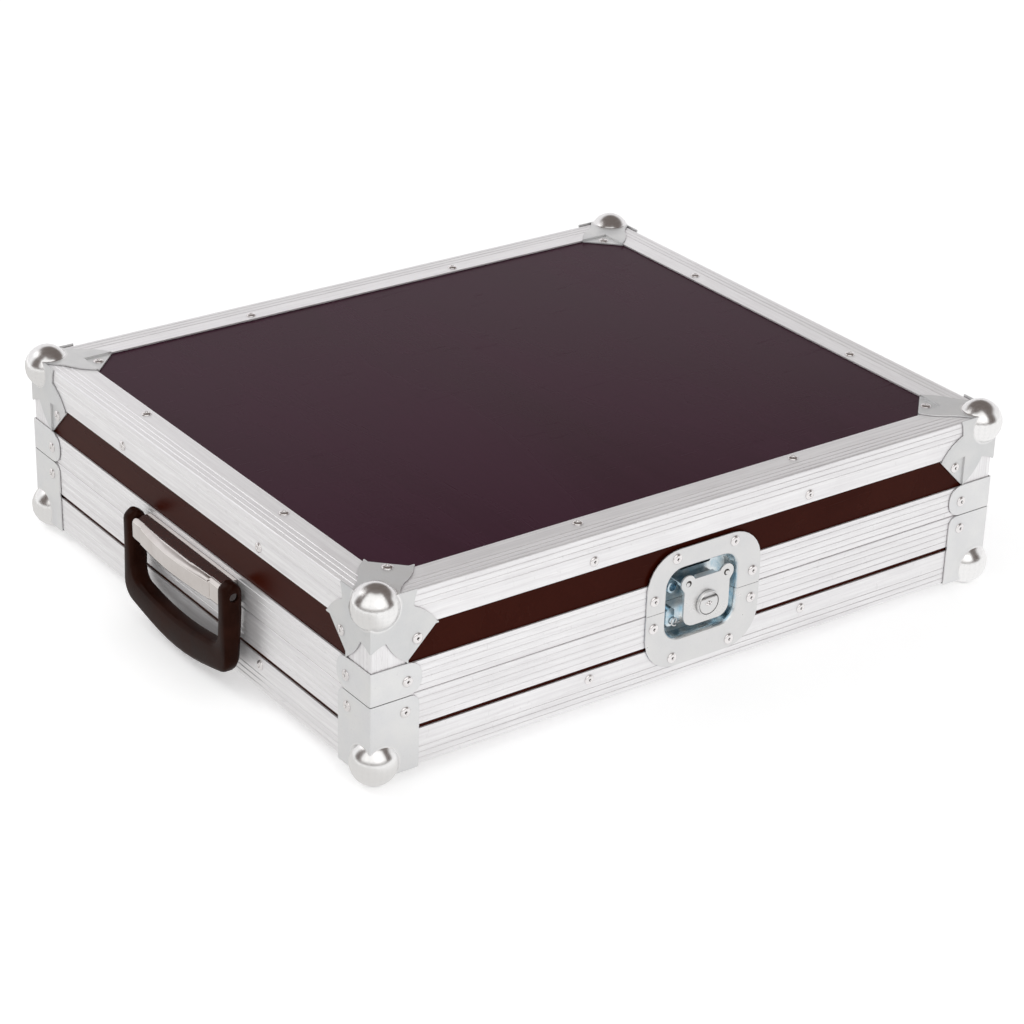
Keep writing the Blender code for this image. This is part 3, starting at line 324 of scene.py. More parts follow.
def extruded_aluminium(axis):
    """Mill-finish aluminium with die lines along one axis, faint handling marks, dull patches and
    painted shade in its grooves and against its neighbours.
    """
    dull, bright = (0.85, 0.84, 0.85), (0.97, 0.965, 0.97)
    streak_color, patch_color = (0.70, 0.675, 0.69), (0.78, 0.76, 0.77)
    # The second colour on the next line is painted shade, for grooves and the sides of neighbours.
    mark_color, crevice_shade_color = (0.58, 0.57, 0.57), (0.54, 0.485, 0.51)
    look = Look(f"aluminium_along_{'xyz'[axis]}", bright, 0.36, 1.0)

    long_lines = tuple(0.012 if i == axis else 1.0 for i in range(3))
    short_lines = tuple(0.05 if i == axis else 1.0 for i in range(3))
    lines = look.noise(scale=1500, detail=2.0, roughness=0.6, stretch=long_lines)
    bands = look.noise(scale=300, detail=3.0, roughness=0.6, stretch=long_lines)
    streaks = look.noise(scale=520, detail=3.0, roughness=0.6, stretch=short_lines)
    streaks = look.span(streaks, 0.48, 0.66)
    patches = look.noise(scale=24, detail=4.0, roughness=0.6)
    marks = look.noise(scale=420, detail=2.0, stretch=(1.0, 0.16, 0.5), distortion=0.6)
    marks = look.span(marks, 0.66, 0.74)

    tone = look.mix(look.span(bands, 0.32, 0.68), dull, bright)
    tone = look.mix(look.part(streaks, 0.30), tone, streak_color)
    tone = look.mix(look.span(patches, 0.35, 0.75, 0.0, 0.30), tone, patch_color)
    tone = look.mix(look.part(marks, 0.22), tone, mark_color)
    # Painted shade: a darker colour in the grooves and against neighbouring parts, from ambient occlusion.
    painted_crevice_shade = look.crevice(distance=0.0022, low=0.34, high=0.86)
    look.color(look.mix(look.part(painted_crevice_shade, 0.7), tone, crevice_shade_color))
    look.metal(look.span(patches, 0.3, 0.7, 0.66, 0.50))
    wear = look.math("ADD", look.part(bands, 0.6), look.part(patches, 0.4))
    look.rough(look.span(wear, 0.3, 0.7, 0.28, 0.46))
    look.bump(lines, distance=0.00006, strength=0.5)
    look.bump(marks, distance=0.00005, strength=0.3)
    return look.material


def zinc(name, color, cool, roughness, mottle=1.0, dull=0.39, corner=0.0016, balls=False, dish=None):
    """Bright zinc on pressed steel: a fine spangle, a slight blue cast in places and small scuffs.
    Dull is the part that scatters. Corner is how far the painted shade reaches out of corners and
    creases. Pressed balls are burnished, and the braces beside them have a punch mark. A dish has two
    tones of its own."""
    # The second colour on the next line is painted shade, for corners and creases.
    ball_color, crevice_shade_color = (0.88, 0.875, 0.87), (0.25, 0.23, 0.23)
    look = Look(name, color, roughness, 1.0)
    cloud = look.noise(scale=38, detail=4.0, roughness=0.6)
    spangle = look.span(look.cells(scale=950, output="Color"), 0.0, 1.0)
    scuffs = look.noise(scale=700, detail=3.0, roughness=0.6, stretch=(1.0, 0.35, 0.7), distortion=0.8)
    scuffs = look.span(scuffs, 0.63, 0.72)

    tone = look.mix(look.span(cloud, 0.35, 0.72, 0.0, 0.85 * mottle), color, cool)
    tone = look.mix(look.part(spangle, 0.10), tone, shaded(color, 0.8))
    tone = look.mix(look.part(scuffs, 0.25), tone, shaded(color, 0.65))
    rough = look.span(cloud, 0.3, 0.7, roughness * 0.8, roughness * 1.3)
    metal = look.span(cloud, 0.3, 0.7, min(1.0, 1.07 - dull), 0.93 - dull)
    if balls:
        polish = look.near(BALLS, radius=BALL_RADIUS - 0.0002, soft=0.0016)
        tone = look.mix(polish, tone, ball_color)
        rough = look.span(polish, 0.0, 1.0, rough, 0.22)
        metal = look.span(polish, 0.0, 1.0, metal, 1.0)
    if dish:
        inside = look.beyond(1, MIDDLE.y, low=HALF_WIDTH + 0.0012, high=HALF_WIDTH + 0.0002)
        stain = look.span(look.noise(scale=75, detail=3.0, roughness=0.55), 0.38, 0.66)
        tone = look.mix(inside, tone, look.mix(stain, *dish))
        rough = look.span(inside, 0.0, 1.0, rough, 0.24)
        metal = look.span(inside, 0.0, 1.0, metal, 1.0)
    # Painted shade: a darker colour in corners, creases and against neighbouring parts, from ambient
    # occlusion.
    painted_crevice_shade = look.crevice(corner, low=0.26, high=0.72)
    look.color(look.mix(look.part(painted_crevice_shade, 0.7), tone, crevice_shade_color))
    look.rough(rough)
    look.metal(metal)
    look.bump(look.noise(scale=160), distance=0.00010, strength=0.25)
    look.bump(scuffs, distance=0.00004, strength=0.4)
    if balls:
        mark = look.near(BRACE_MARKS, radius=MARK_RADIUS, soft=2 * MARK_RADIUS)
        look.bump(mark, distance=MARK_DEPTH, strength=-1.0)
    return look.material


def chrome():
    """Polished plating with fine wipe marks, painted shade in its creases and painted shade on the
    recessed ends of the handle's rod.
    """
    dull, bright = (0.67, 0.625, 0.60), (0.74, 0.70, 0.68)
    # Both colours on the next line are painted shade: for creases, and for the rod's recessed ends.
    crevice_shade_color, rod_end_shade_color = (0.22, 0.18, 0.16), (0.09, 0.08, 0.078)
    look = Look("chrome_plate", dull, 0.07, 1.0)
    cloud = look.noise(scale=60)
    wipes = look.noise(scale=900, detail=2.0, roughness=0.6, stretch=(0.5, 0.06, 1.0), distortion=0.4)
    tone = look.mix(look.span(cloud, 0.35, 0.7), dull, bright)
    # Painted shade in creases and against neighbouring parts, from ambient occlusion.
    tone = look.mix(look.crevice(distance=0.002, low=0.3, high=0.8), tone, crevice_shade_color)
    low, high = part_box("handle_grip")
    arms = (high.y - low.y) / 2
    # Painted shade on the ends of the handle's rod, which sit back in the grip's bores.
    rod_end = look.beyond(1, (low.y + high.y) / 2, low=arms - 0.0022, high=arms - 0.0018)
    look.color(look.mix(rod_end, tone, rod_end_shade_color))
    look.rough(look.span(wipes, 0.35, 0.75, 0.04, 0.13))
    look.bump(cloud, distance=0.0001, strength=0.12)
    return look.material


def phenolic(name, color, light, specular, tint):
    """Resin-filmed plywood: the veneer shows faintly through a smooth film with tiny pits and hairlines."""
    look = Look(name, color, 0.27, 0.0, Specular_IOR_Level=specular, Specular_Tint=(*tint, 1.0))
    veneer = look.noise(scale=9, detail=5.0, roughness=0.62, stretch=(1.0, 0.22, 1.0), distortion=0.5)
    fibre = look.noise(scale=420, detail=3.0, roughness=0.6, stretch=(1.0, 0.06, 1.0))
    specks = look.span(look.noise(scale=900, detail=2.0), 0.66, 0.75)
    hairs = look.noise(scale=340, detail=2.0, stretch=(0.05, 1.0, 1.0), distortion=1.2)
    hairs = look.span(hairs, 0.685, 0.72)

    tone = look.mix(look.span(veneer, 0.3, 0.72), color, light)
    tone = look.mix(look.part(look.span(fibre, 0.35, 0.7), 0.22), tone, shaded(color, 0.7))
    look.color(look.mix(look.part(specks, 0.12), tone, shaded(light, 2.5)))
    film = look.span(veneer, 0.3, 0.7, 0.22, 0.31)
    look.rough(look.math("ADD", film, look.part(hairs, 0.14)))
    look.bump(look.noise(scale=240, detail=2.0), distance=0.00012, strength=0.06)
    look.bump(fibre, distance=0.00005, strength=0.12)
    return look.material


def moulded_plastic():
    """Dark brown-black plastic with a fine eroded grain, polished by hands in places."""
    dark, worn_color, tint = (0.012, 0.0028, 0.0014), (0.025, 0.0074, 0.0044), (1.0, 0.8, 0.7, 1.0)
    look = Look("moulded_plastic", dark, 0.36, 0.0, Specular_IOR_Level=0.055, Specular_Tint=tint)
    worn = look.noise(scale=45, detail=3.0, roughness=0.55)
    look.color(look.mix(look.span(worn, 0.3, 0.7), dark, worn_color))
    look.rough(look.span(worn, 0.3, 0.72, 0.28, 0.44))
    look.bump(look.cells(scale=1900), distance=0.00012, strength=0.35)
    look.bump(look.noise(scale=260, detail=2.0), distance=0.00015, strength=0.15)
    return look.material


def cellular_foam():
    """Open-celled charcoal foam."""
    pore_color, skin_color, clump_color = (0.016, 0.016, 0.018), (0.075, 0.075, 0.08), (0.05, 0.05, 0.055)
    look = Look("cellular_foam", clump_color, 0.96, 0.0, Specular_IOR_Level=0.15)
    pores = look.cells(scale=620)
    clumps = look.noise(scale=180, detail=4.0, roughness=0.65)
    tone = look.mix(look.span(pores, 0.1, 0.6), pore_color, skin_color)
    look.color(look.mix(look.span(clumps, 0.3, 0.7, 0.0, 0.5), tone, clump_color))
    look.bump(pores, distance=0.0012, strength=0.8)
    look.bump(clumps, distance=0.001, strength=0.5)
    return look.material


ALUMINIUM = [extruded_aluminium(axis) for axis in range(3)]
ZINC = zinc("zinc_plate", (0.82, 0.82, 0.815), (0.76, 0.765, 0.78), roughness=0.36, balls=True)
ZINC_STAR = zinc("zinc_star", (0.735, 0.735, 0.73), (0.67, 0.68, 0.69), roughness=0.36, balls=True)
ZINC_DISH = zinc("zinc_latch", (0.77, 0.765, 0.76), (0.71, 0.72, 0.73), roughness=0.33, mottle=0.6,
                 dish=((0.80, 0.83, 0.83), (0.36, 0.55, 0.67)))
# The draw plate's painted shade reaches further out of corners, to darken the gap round the cam's head.
ZINC_DRAW = zinc("zinc_draw_plate", (0.76, 0.755, 0.75), (0.69, 0.70, 0.71), roughness=0.30, mottle=0.6,
                 dull=0.3, corner=0.0034)
CHROME = chrome()
PANEL_TOP = phenolic("phenolic_top", (0.028, 0.0036, 0.0115), (0.040, 0.0066, 0.0205),
                     specular=0.065, tint=(1.0, 0.6, 0.92))
PANEL_WALL = phenolic("phenolic_wall", (0.033, 0.0032, 0.0008), (0.046, 0.0070, 0.0030),
                      specular=0.060, tint=(1.0, 0.7, 0.65))
PLASTIC = moulded_plastic()
FOAM = cellular_foam()
RIVET = zinc("rivet_metal", (0.88, 0.855, 0.85), (0.82, 0.80, 0.80), roughness=0.20, dull=0.0)
# Painted shade: a near-black finish for the bottoms of holes and pits, on the rivets' broken pins, the
# ears' holes and the stud's punched middle.
HOLE_SHADE = Look("painted_hole_shade", (0.03, 0.022, 0.018), 0.7, 0.4).material


# Foam linings

def even_mesh(node):
    """A node's solid as a mesh of even squares with softened edges."""
    work = nodes[node].copy()
    work.data = nodes[node].data.copy()
    bpy.context.scene.collection.objects.link(work)
    weld = work.modifiers.new("weld", "WELD")
    weld.merge_threshold = 0.00001
    remesh = work.modifiers.new("even_mesh", "REMESH")
    remesh.mode = "VOXEL"
    remesh.voxel_size = FOAM_GRID
    settle = work.modifiers.new("settle", "SMOOTH")
    settle.factor = 0.5
    settle.iterations = 2
    shown = work.evaluated_get(bpy.context.evaluated_depsgraph_get())
    mesh = bpy.data.meshes.new_from_object(shown)
    bpy.data.objects.remove(work)
    return mesh


def egg_crate(x, y):
    """How far the lid's foam rises over its lowest points, in a grid of waves."""
    across = 2 * math.pi / CRATE_PITCH
    return CRATE_DEPTH * (0.5 + 0.5 * math.sin(across * x) * math.sin(across * y))


def settled(x, y):
    """How far the floor of the base's foam has sunk, in wide shallow hollows."""
    return -SETTLING * (1 + math.sin(31 * x) * math.sin(27 * y + 1))


def foam_lining(node, body, faces, wave):
    """A foam lining in its solid's space, with a wave on the faces that look up, 1, or down, -1."""
    mesh = even_mesh(node)
    normals = [vert.normal.copy() for vert in mesh.vertices]
    for vert, normal in zip(mesh.vertices, normals):
        vert.co -= normal * FOAM_SKIN
        x, y = vert.co.x - MIDDLE.x, vert.co.y - MIDDLE.y
        inset = min(HALF_LENGTH - FOAM_WALL - abs(x), HALF_WIDTH - FOAM_WALL - abs(y))
        if inset > 0 and faces * normal.z > 0.5:
            vert.co.z += min(1.0, inset / FOAM_FADE) * wave(x, y)
    mesh.materials.clear()
    mesh.materials.append(FOAM)
    mesh.polygons.foreach_set("use_smooth", [True] * len(mesh.polygons))
    lining = bpy.data.objects.new(f"{node}_lining", mesh)
    bpy.context.scene.collection.objects.link(lining)
    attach(lining, body)
    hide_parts(node)


foam_lining("base_foam", "base", 1, settled)
foam_lining("lid_foam", "lid", -1, egg_crate)


# How the CAD nodes are shown

def smoother():
    """A node group that shades the shown mesh by the angle between its faces."""
    group = bpy.data.node_groups.new("shade_by_angle", "GeometryNodeTree")
    group.interface.new_socket("Geometry", in_out="INPUT", socket_type="NodeSocketGeometry")
    group.interface.new_socket("Geometry", in_out="OUTPUT", socket_type="NodeSocketGeometry")
    start = group.nodes.new("NodeGroupInput")
    end = group.nodes.new("NodeGroupOutput")
    angle = group.nodes.new("GeometryNodeInputMeshEdgeAngle")
    sharp = group.nodes.new("FunctionNodeCompare")
    sharp.data_type = "FLOAT"
    sharp.operation = "GREATER_THAN"
    sharp.inputs[1].default_value = SHARP_FROM
    shade = group.nodes.new("GeometryNodeSetMeshNormal")
    shade.mode = "SHARPNESS"
    shade.inputs["Remove Custom"].default_value = True
    group.links.new(start.outputs[0], shade.inputs["Mesh"])
    group.links.new(angle.outputs["Unsigned Angle"], sharp.inputs[0])
    group.links.new(sharp.outputs["Result"], shade.inputs["Edge Sharpness"])
    group.links.new(shade.outputs["Mesh"], end.inputs[0])
    return group


SMOOTHER = smoother()


def soften(piece, width):
    """Rounds a piece's sharp edges a little and shades it smoothly."""
    weld = piece.modifiers.new("weld", "WELD")
    weld.merge_threshold = 0.000005
    if width:
        flat = piece.modifiers.new("flat_faces", "DECIMATE")
        flat.decimate_type = "DISSOLVE"
        flat.angle_limit = FLAT_WITHIN
        rounded = piece.modifiers.new("rounded_edges", "BEVEL")
        rounded.width = width
        rounded.segments = 2
        rounded.limit_method = "ANGLE"
        rounded.angle_limit = ROUNDED_FROM
        rounded.use_clamp_overlap = True
    shade = piece.modifiers.new("shade", "NODES")
    shade.node_group = SMOOTHER
    if width:
        level = piece.modifiers.new("flat_normals", "WEIGHTED_NORMAL")
        level.keep_sharp = True
        level.weight = 90


def dress(names, material, width):
    """Gives nodes their material and rounds their edges."""
    for name in names:
        piece = nodes[name]
        piece.data.materials.clear()
        piece.data.materials.append(material)
        soften(piece, width)


def matching(*starts):
    return [name for name in nodes if name.startswith(starts)]


dress(["lid_top_panel", "base_floor_panel"], PANEL_TOP, PANEL_EDGE)
dress(matching("lid_wall", "base_wall"), PANEL_WALL, PANEL_EDGE)
for name in matching("lid_edge", "base_edge", "lid_rim", "base_rim"):
    along = 0 if "front" in name or "back" in name else 1
    dress([name], ALUMINIUM[along], EXTRUSION_EDGE)
dress(matching("lid_post"), ALUMINIUM[2], EXTRUSION_EDGE)
dress(matching("lid_ball"), ZINC_STAR, SHEET_EDGE)
dress(matching("lid_brace", "base_ball"), ZINC, SHEET_EDGE)
dress([name for name in nodes if name.endswith("_dish")], ZINC_DISH, DISH_EDGE)
dress([name for name in nodes if name.endswith(("_hook", "_cam", "_wing"))], ZINC_DRAW, SHEET_EDGE)
dress(["handle_bracket"], CHROME, BRACKET_EDGE)
dress(["handle_grip"], PLASTIC, 0.0)


# Faces of the case and pieces turned on them

# Right, up and out of each face, seen from outside
AXES = {
    "front": ((1, 0, 0), (0, 0, 1), (0, -1, 0)),
    "right": ((0, 1, 0), (0, 0, 1), (1, 0, 0)),
    "back": ((-1, 0, 0), (0, 0, 1), (0, 1, 0)),
    "left": ((0, -1, 0), (0, 0, 1), (-1, 0, 0)),
    "top": ((1, 0, 0), (0, 1, 0), (0, 0, 1)),
    "bottom": ((1, 0, 0), (0, -1, 0), (0, 0, -1)),
}
SIDES = ("front", "right", "back", "left")
REACH = {"front": HALF_WIDTH, "back": HALF_WIDTH, "left": HALF_LENGTH, "right": HALF_LENGTH,
         "top": HEIGHT, "bottom": 0.0}


def on_face(face, along, up, out=0.0):
    """A place on a face of the case: along and up from the middle of its lower edge, or from the
    middle of the face on top and bottom. Its Z points out of the face."""
    right, rise, normal = (Vector(axis) for axis in AXES[face])
    place = Matrix((right, rise, normal)).transposed().to_4x4()
    place.translation = MIDDLE + normal * (REACH[face] + out) + right * along + rise * up
    return place


def half_span(face):
    """Half of a side's length."""
    return HALF_LENGTH if face in ("front", "back") else HALF_WIDTH


def ring(work, place, radius, height, segments):
    """A ring of points round the place's Z, or one point on it."""
    if radius == 0:
        return [work.verts.new(place @ Vector((0, 0, height)))]
    turns = [2 * math.pi * i / segments for i in range(segments)]
    return [work.verts.new(place @ Vector((radius * math.cos(turn), radius * math.sin(turn), height)))
            for turn in turns]


def lathe(work, place, profile, segments, slot=0, smooth=True):
    """Turns a profile of (radius, height) about the place's Z."""
    rings = [ring(work, place, radius, height, segments) for radius, height in profile]
    for lower, upper in zip(rings, rings[1:]):
        for i in range(segments):
            j = (i + 1) % segments
            corners = [lower[i % len(lower)], lower[j % len(lower)],
                       upper[j % len(upper)], upper[i % len(upper)]]
            corners = [corner for n, corner in enumerate(corners) if corner not in corners[:n]]
            face = work.faces.new(corners)
            face.material_index = slot
            face.smooth = smooth


def rivet(work, place, size, turn=0.0):
    """A domed blind rivet: flat rim, dome, and the broken pin sunk in its middle, near-black as
    painted shade in the hole.
    """
    radius, height, hole = size
    rim = 0.16 * height
    spin = place @ Matrix.Rotation(turn, 4, "Z")
    dome = [(0.0, -RIVET_SINK), (radius * 0.9, -RIVET_SINK), (radius, 0.0), (radius, rim)]
    for step in range(1, 6):
        angle = math.radians(90 * step / 6)
        dome.append((hole + (radius - hole) * math.cos(angle), rim + (height - rim) * math.sin(angle)))
    dome += [(hole * 1.15, height), (hole, height * 0.86), (hole * 0.92, height * 0.3)]
    lathe(work, spin, dome, RIVET_SEGMENTS)
    # The pin takes the near-black painted hole shade.
    pin = [(hole * 0.92, height * 0.3), (hole * 0.55, height * 0.34),
           (hole * 0.42, height * 0.52), (0.0, height * 0.48)]
    lathe(work, spin, pin, RIVET_SEGMENTS, slot=1, smooth=False)


def piece_from(work, name, materials, body, merge=True):
    """Ends a bmesh as a piece that rides on a body."""
    if merge:
        bmesh.ops.remove_doubles(work, verts=work.verts, dist=0.000001)
    bmesh.ops.recalc_face_normals(work, faces=work.faces)
    mesh = bpy.data.meshes.new(name)
    work.to_mesh(mesh)
    work.free()
    for material in materials:
        mesh.materials.append(material)
    piece = bpy.data.objects.new(name, mesh)
    bpy.context.scene.collection.objects.link(piece)
    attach(piece, body)


# Rivets

def edge_rivets():
    """Two rivets on each leg of each edge angle."""
    lid = bmesh.new()
    base = bmesh.new()
    for face in SIDES:
        for end in (-1, 1):
            along = end * EDGE_RIVET_ALONG[face]
            turn = along * EDGE_RIVET_TURN
            rivet(lid, on_face(face, along, HEIGHT - EDGE_RIVET_IN), EDGE_RIVET, turn)
            rivet(base, on_face(face, along, EDGE_RIVET_IN), EDGE_RIVET, -turn)
            spot = on_face(face, along, 0.0, -EDGE_RIVET_IN).translation
            for work, level in ((lid, "top"), (base, "bottom")):
                place = on_face(level, 0, 0)
                place.translation = Vector((spot.x, spot.y, place.translation.z))
                rivet(work, place, EDGE_RIVET, 2 * turn)
    piece_from(lid, "lid_edge_rivets", [RIVET, HOLE_SHADE], "lid")
    piece_from(base, "base_edge_rivets", [RIVET, HOLE_SHADE], "base")


def corner_rivets():
    """Three on each lid corner, two on each brace and two on each foot corner."""
    star = bmesh.new()
    brace = bmesh.new()
    foot = bmesh.new()
    for face in SIDES:
        for end in (-1, 1):
            edge = half_span(face)
            on_tab = on_face(face, end * (edge - STAR_RIVET_IN), HEIGHT - STAR_RIVET_IN, TAB_OUT)
            on_brace = on_face(face, end * (edge - BRACE_RIVET_IN), BRACE_RIVET_UP, PLATE_OUT)
            on_foot = on_face(face, end * (edge - FOOT_RIVET_IN), FOOT_RIVET_UP, PLATE_OUT)
            rivet(star, on_tab, STAR_RIVET)
            rivet(brace, on_brace, CORNER_RIVET)
            rivet(foot, on_foot, CORNER_RIVET)
    for x in (-1, 1):
        for y in (-1, 1):
            along, up = x * (HALF_LENGTH - STAR_RIVET_IN), y * (HALF_WIDTH - STAR_RIVET_IN)
            rivet(star, on_face("top", along, up, TAB_OUT), STAR_RIVET)
    piece_from(star, "lid_corner_rivets", [RIVET, HOLE_SHADE], "lid")
    piece_from(brace, "lid_brace_rivets", [RIVET, HOLE_SHADE], "lid")
    piece_from(foot, "base_corner_rivets", [RIVET, HOLE_SHADE], "base")


def latch_rivets():
    """Eight on each latch plate, four on each half."""
    for face in ("front", "back"):
        for half, side, body in (("upper", 1, "lid"), ("lower", -1, "base")):
            work = bmesh.new()
            for aside, away in LATCH_RIVETS:
                up = SPLIT - BOTTOM + side * away
                for end in (-1, 1):
                    place = on_face(face, LATCH_SHIFT + end * aside, up, PLATE_OUT)
                    rivet(work, place, LATCH_RIVET, aside * LATCH_RIVET_TURN)
            piece_from(work, f"latch_{face}_{half}_rivets", [RIVET, HOLE_SHADE], body)


# Small parts of the latches

def middle_along(face, node):
    """Where a latch node's middle lies along its face, from the middle of the face."""
    low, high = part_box(node)
    along = (low.x + high.x) / 2 - MIDDLE.x
    return -along if face == "back" else along


def front_out(face, node):
    """How far a latch node's front stands out of its face."""
    low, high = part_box(node)
    return high.y - BACK if face == "back" else FRONT - low.y


def ear_rivets(face):
    """Rivets seen through the ears of the draw plate, each over a flat dark disc of painted shade
    for its hole.
    """
    hook = f"latch_{face}_hook"
    along = middle_along(face, hook)
    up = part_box(hook)[1].z - EAR_BELOW_TOP - BOTTOM
    work = bmesh.new()
    for side in (-1, 1):
        spot = on_face(face, along + side * EAR_ASIDE, up, front_out(face, hook))
        # A flat dark disc of painted shade for the hole in the ear.
        lathe(work, spot, EAR_HOLE, 22, slot=1)
        pin = spot @ Matrix.Translation((side * EAR_PIN_ASIDE, -EAR_PIN_DOWN, 0.0))
        lathe(work, pin, EAR_PIN, 20)
    piece_from(work, f"{hook}_rivets", [ZINC_DRAW, HOLE_SHADE], hook)


def wing_stud(face):
    """The folding wing's middle stud, with a lobe on each side and a punched middle, shown as a
    small dark disc of painted shade.
    """
    wing = f"latch_{face}_wing"
    cam = f"latch_{face}_cam"
    low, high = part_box(cam)
    up = (low.z + high.z) / 2 - BOTTOM
    spot = on_face(face, middle_along(face, cam), up, front_out(face, wing))
    oval = Matrix.Diagonal(STUD_LOBE_SCALE)
    work = bmesh.new()
    lathe(work, spot, STUD, 24)
    for side in (-1, 1):
        lobe = spot @ Matrix.Translation((side * STUD_LOBE_ASIDE, 0.0, 0.0)) @ oval
        lathe(work, lobe, STUD_LOBE, 18)
    # The punched middle: a small dark disc of painted shade.
    lathe(work, spot @ Matrix.Translation((0.0, 0.0, STUD_PUNCH_OUT)), STUD_PUNCH, 12, slot=1)
    piece_from(work, f"{wing}_stud", [RIVET, HOLE_SHADE], wing, merge=False)


def latch_spring(face):
    """The torsion spring's free leg, a small bent wire low in the dish beside the draw plate."""
    hook = f"latch_{face}_hook"
    along = middle_along(face, hook)
    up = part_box(hook)[0].z - BOTTOM
    end_aside, end_up, end_out = SPRING_END
    places = [(along - end_aside, end_up, end_out)]
    for step in range(SPRING_STEPS):
        angle = math.radians(SPRING_START + SPRING_STEP * step)
        reach = SPRING_RADIUS + SPRING_GROWTH * step
        places.append((along - SPRING_ASIDE + reach * math.cos(angle), SPRING_UP + reach * math.sin(angle),
                       SPRING_OUT + SPRING_RISE * step))
    curve = bpy.data.curves.new(f"latch_{face}_spring", "CURVE")
    curve.dimensions = "3D"
    curve.bevel_depth = SPRING_WIRE
    curve.bevel_resolution = 3
    curve.use_fill_caps = True
    curve.materials.append(ZINC_DRAW)
    line = curve.splines.new("POLY")
    line.points.add(len(places) - 1)
    for point, (aside, rise, depth) in zip(line.points, places):
        point.co = (*on_face(face, aside, up + rise, depth).translation, 1.0)
    spring = bpy.data.objects.new(f"latch_{face}_spring", curve)
    bpy.context.scene.collection.objects.link(spring)
    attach(spring, "base")


edge_rivets()
corner_rivets()
latch_rivets()
for side in ("front", "back"):
    ear_rivets(side)
    wing_stud(side)
    latch_spring(side)


# Floor, light and camera

def seen_rays(tree):
    """1 for the rays that show the background, to the camera or in gloss and glass, and 0 for light."""
    path = tree.nodes.new("ShaderNodeLightPath")
    result = path.outputs["Is Camera Ray"]
    for kind in ("Is Glossy Ray", "Is Transmission Ray"):
        either = tree.nodes.new("ShaderNodeMath")
        either.operation = "MAXIMUM"
        tree.links.new(result, either.inputs[0])
        tree.links.new(path.outputs[kind], either.inputs[1])
        result = either.outputs["Value"]
    return result


def scaled(tree, value, low, high):
    """Takes 0 to 1 to a range of levels."""
    node = tree.nodes.new("ShaderNodeMapRange")
    node.inputs["To Min"].default_value = low
    node.inputs["To Max"].default_value = high
    tree.links.new(value, node.inputs["Value"])
    return node.outputs["Result"]


def white_world():
    """White where it is seen, and a little less where it lights."""
    world = bpy.data.worlds.new("studio")
    bpy.context.scene.world = world
    world.use_nodes = True
    tree = world.node_tree
    background = tree.nodes["Background"]
    background.inputs["Color"].default_value = (*STUDIO_WHITE, 1.0)
    level = scaled(tree, seen_rays(tree), WORLD_LEVEL, 1.0)
    tree.links.new(level, background.inputs["Strength"])


def stage_mesh(name, verts, faces, material):
    """A piece of the studio that isn't part of the object."""
    mesh = bpy.data.meshes.new(name)
    mesh.from_pydata(verts, [], faces)
    mesh.materials.append(material)
    panel = bpy.data.objects.new(name, mesh)
    bpy.context.scene.collection.objects.link(panel)
    return panel


def pale_floor():
    """A floor that takes soft shadows and fades into the white world."""
    look = Look("floor", FLOOR_COLOR, 0.9, Specular_IOR_Level=0.0, Emission_Color=(*STUDIO_WHITE, 1.0))
    glow = scaled(look.tree, seen_rays(look.tree), 0.0, FLOOR_GLOW)
    look.link(glow, look.shader.inputs["Emission Strength"])
    corners = [(x * FLOOR_HALF, y * FLOOR_HALF, 0) for x, y in ((-1, -1), (1, -1), (1, 1), (-1, 1))]
    stage_mesh("floor", corners, [(0, 1, 2, 3)], look.material)


def softbox(name, place, size, power):
    """A rectangular lamp that is aimed at the case."""
    light = bpy.data.lights.new(name, "AREA")
    light.shape = "RECTANGLE"
    light.size, light.size_y = size
    light.energy = power
    lamp = bpy.data.objects.new(name, light)
    lamp.location = place
    lamp.rotation_euler = (Vector(LAMP_AIM) - Vector(place)).to_track_quat("-Z", "Y").to_euler()
    bpy.context.scene.collection.objects.link(lamp)


def ramp(value, low, high):
    """0 to 1 as a value goes from low to high, with soft ends. High may be the smaller one."""
    part = min(1.0, max(0.0, (value - low) / (high - low)))
    return part * part * (3 - 2 * part)


def blended(part, first, second):
    return tuple(a + (b - a) * part for a, b in zip(first, second))


def ceiling_level(turn, rise):
    """The studio's light by the angle beside the camera and over the horizon, both in degrees: a bright
    opening round the camera with a dark surround, and a pale back wall under a dark ceiling that
    slopes to one side."""
    side = abs(turn)
    pale = blended(ramp(side, 80, 120), STUDIO_WHITE, STUDIO_PALE)
    opening = ramp(side, 56, 44) * ramp(rise, 68, 54) * ramp(rise, 3, 13)
    surround = ramp(side, 92, 78)
    slope = CEILING_TILT * min(TILT_WITHIN, 180 - side) * (1 if turn > 0 else -1)
    dark = max(ramp(rise + slope, 23, 37), surround) * (1 - opening)
    return blended(opening, blended(dark, pale, STUDIO_DARK), STUDIO_BRIGHT)


def paper_level(turn):
    """The light of the paper under the case, by the angle in degrees from the case's right side."""
    left = ramp(abs(turn), 118, 140) if turn < 0 else ramp(turn, 60, 100)
    return blended(left, PAPER_FRONT, PAPER_LEFT)


def rows_of_faces(rows):
    """Faces between closed rows of points, each as long as the list of turns."""
    count = len(TURNS)
    return [(row * count + i, row * count + (i + 1) % count,
             (row + 1) * count + (i + 1) % count, (row + 1) * count + i)
            for row in range(rows - 1) for i in range(count)]


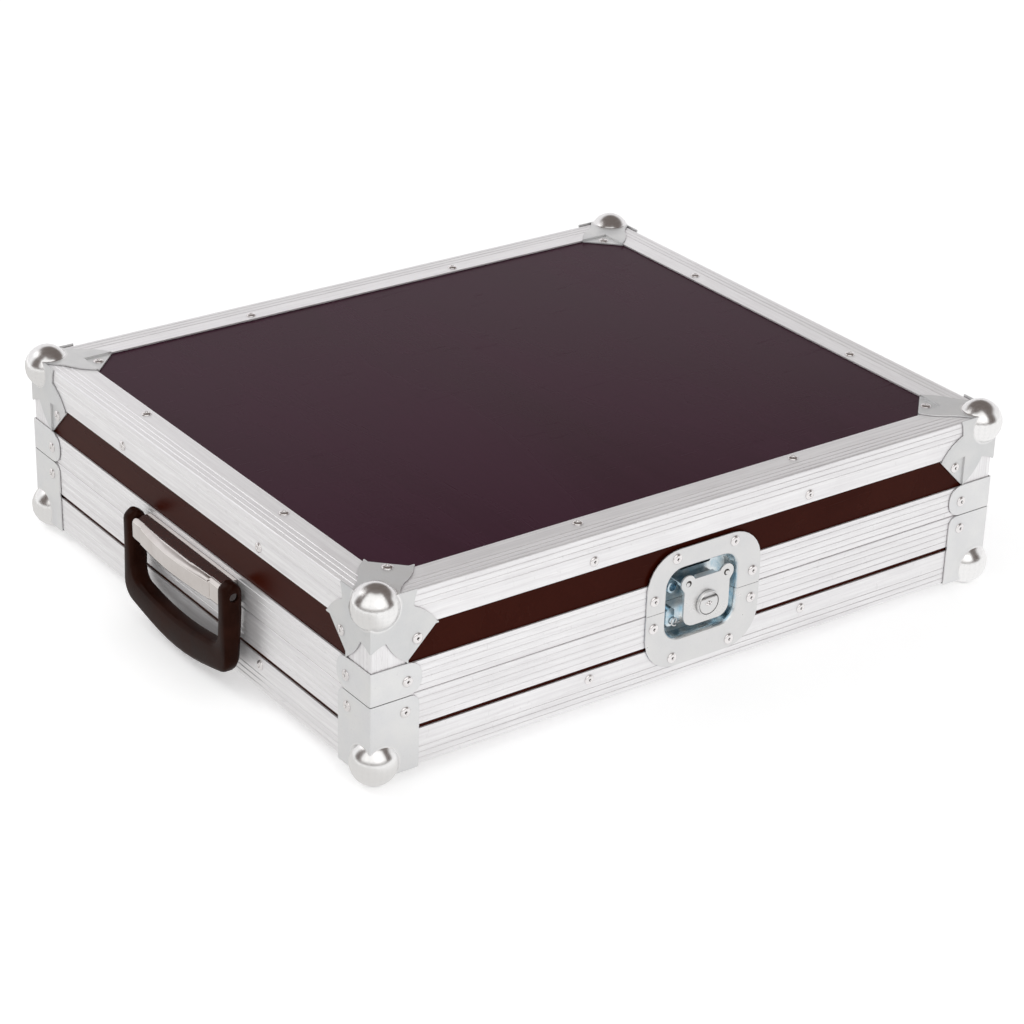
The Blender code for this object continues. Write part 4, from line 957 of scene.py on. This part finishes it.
def gloss_panel(name, verts, faces, levels):
    """A studio panel that only shows in gloss, with a light level for each of its points."""
    material = bpy.data.materials.new(name)
    material.use_nodes = True
    tree = material.node_tree
    tree.nodes.remove(tree.nodes["Principled BSDF"])
    shade = tree.nodes.new("ShaderNodeAttribute")
    shade.attribute_name = "level"
    glow = tree.nodes.new("ShaderNodeEmission")
    tree.links.new(shade.outputs["Color"], glow.inputs["Color"])
    tree.links.new(glow.outputs[0], tree.nodes["Material Output"].inputs["Surface"])
    panel = stage_mesh(name, verts, faces, material)
    level = panel.data.color_attributes.new("level", "FLOAT_COLOR", "POINT")
    for spot, color in zip(level.data, levels):
        spot.color = (*color, 1.0)
    panel.visible_camera = False
    panel.visible_diffuse = False
    panel.visible_transmission = False
    panel.visible_volume_scatter = False
    panel.visible_shadow = False


def studio_ceiling():
    """A dome over the case: the ceiling and walls of the studio, as the shiny parts reflect them."""
    front = math.atan2(-CAMERA_AIM[1], -CAMERA_AIM[0])
    verts = []
    levels = []
    for rise in RISES:
        reach = DOME_RADIUS * math.cos(math.radians(rise))
        height = TOP + DOME_RADIUS * math.sin(math.radians(rise))
        for turn in TURNS:
            around = front + math.radians(turn)
            verts.append((reach * math.cos(around), reach * math.sin(around), height))
            levels.append(ceiling_level(turn, rise))
    rim = len(verts) - len(TURNS)
    faces = rows_of_faces(len(RISES))
    faces += [(rim + i, rim + (i + 1) % len(TURNS), len(verts)) for i in range(len(TURNS))]
    verts.append((0.0, 0.0, TOP + DOME_RADIUS))
    levels.append(STUDIO_DARK)
    gloss_panel("studio_ceiling", verts, faces, levels)


def studio_paper():
    """A sheet round the case, as the shiny parts reflect it: paler in front than on the left."""
    verts = []
    levels = []
    for reach in PAPER_REACHES:
        for turn in TURNS:
            around = math.radians(turn)
            verts.append((reach * math.cos(around), reach * math.sin(around), PAPER_HEIGHT))
            levels.append(paper_level(turn))
    gloss_panel("studio_paper", verts, rows_of_faces(len(PAPER_REACHES)), levels)


def camera():
    """The camera, at the photograph's place and angle."""
    lens = bpy.data.cameras.new("camera")
    lens.sensor_width = 36.0
    lens.lens = CAMERA_LENS
    lens.clip_start = 0.1
    lens.clip_end = 50.0
    view = bpy.data.objects.new("camera", lens)
    aim = Vector(CAMERA_AIM).to_track_quat("-Z", "Y")
    roll = Matrix.Rotation(CAMERA_ROLL, 4, "Z")
    view.matrix_world = Matrix.Translation(CAMERA_PLACE) @ aim.to_matrix().to_4x4() @ roll
    bpy.context.scene.collection.objects.link(view)
    bpy.context.scene.camera = view


white_world()
pale_floor()
softbox("key", (-1.4, 1.5, 2.0), size=(1.0, 0.8), power=11)
softbox("fill", (-0.5, -2.3, 1.5), size=(0.9, 0.9), power=8)
studio_ceiling()
studio_paper()
camera()
bpy.context.scene.view_settings.view_transform = "Standard"
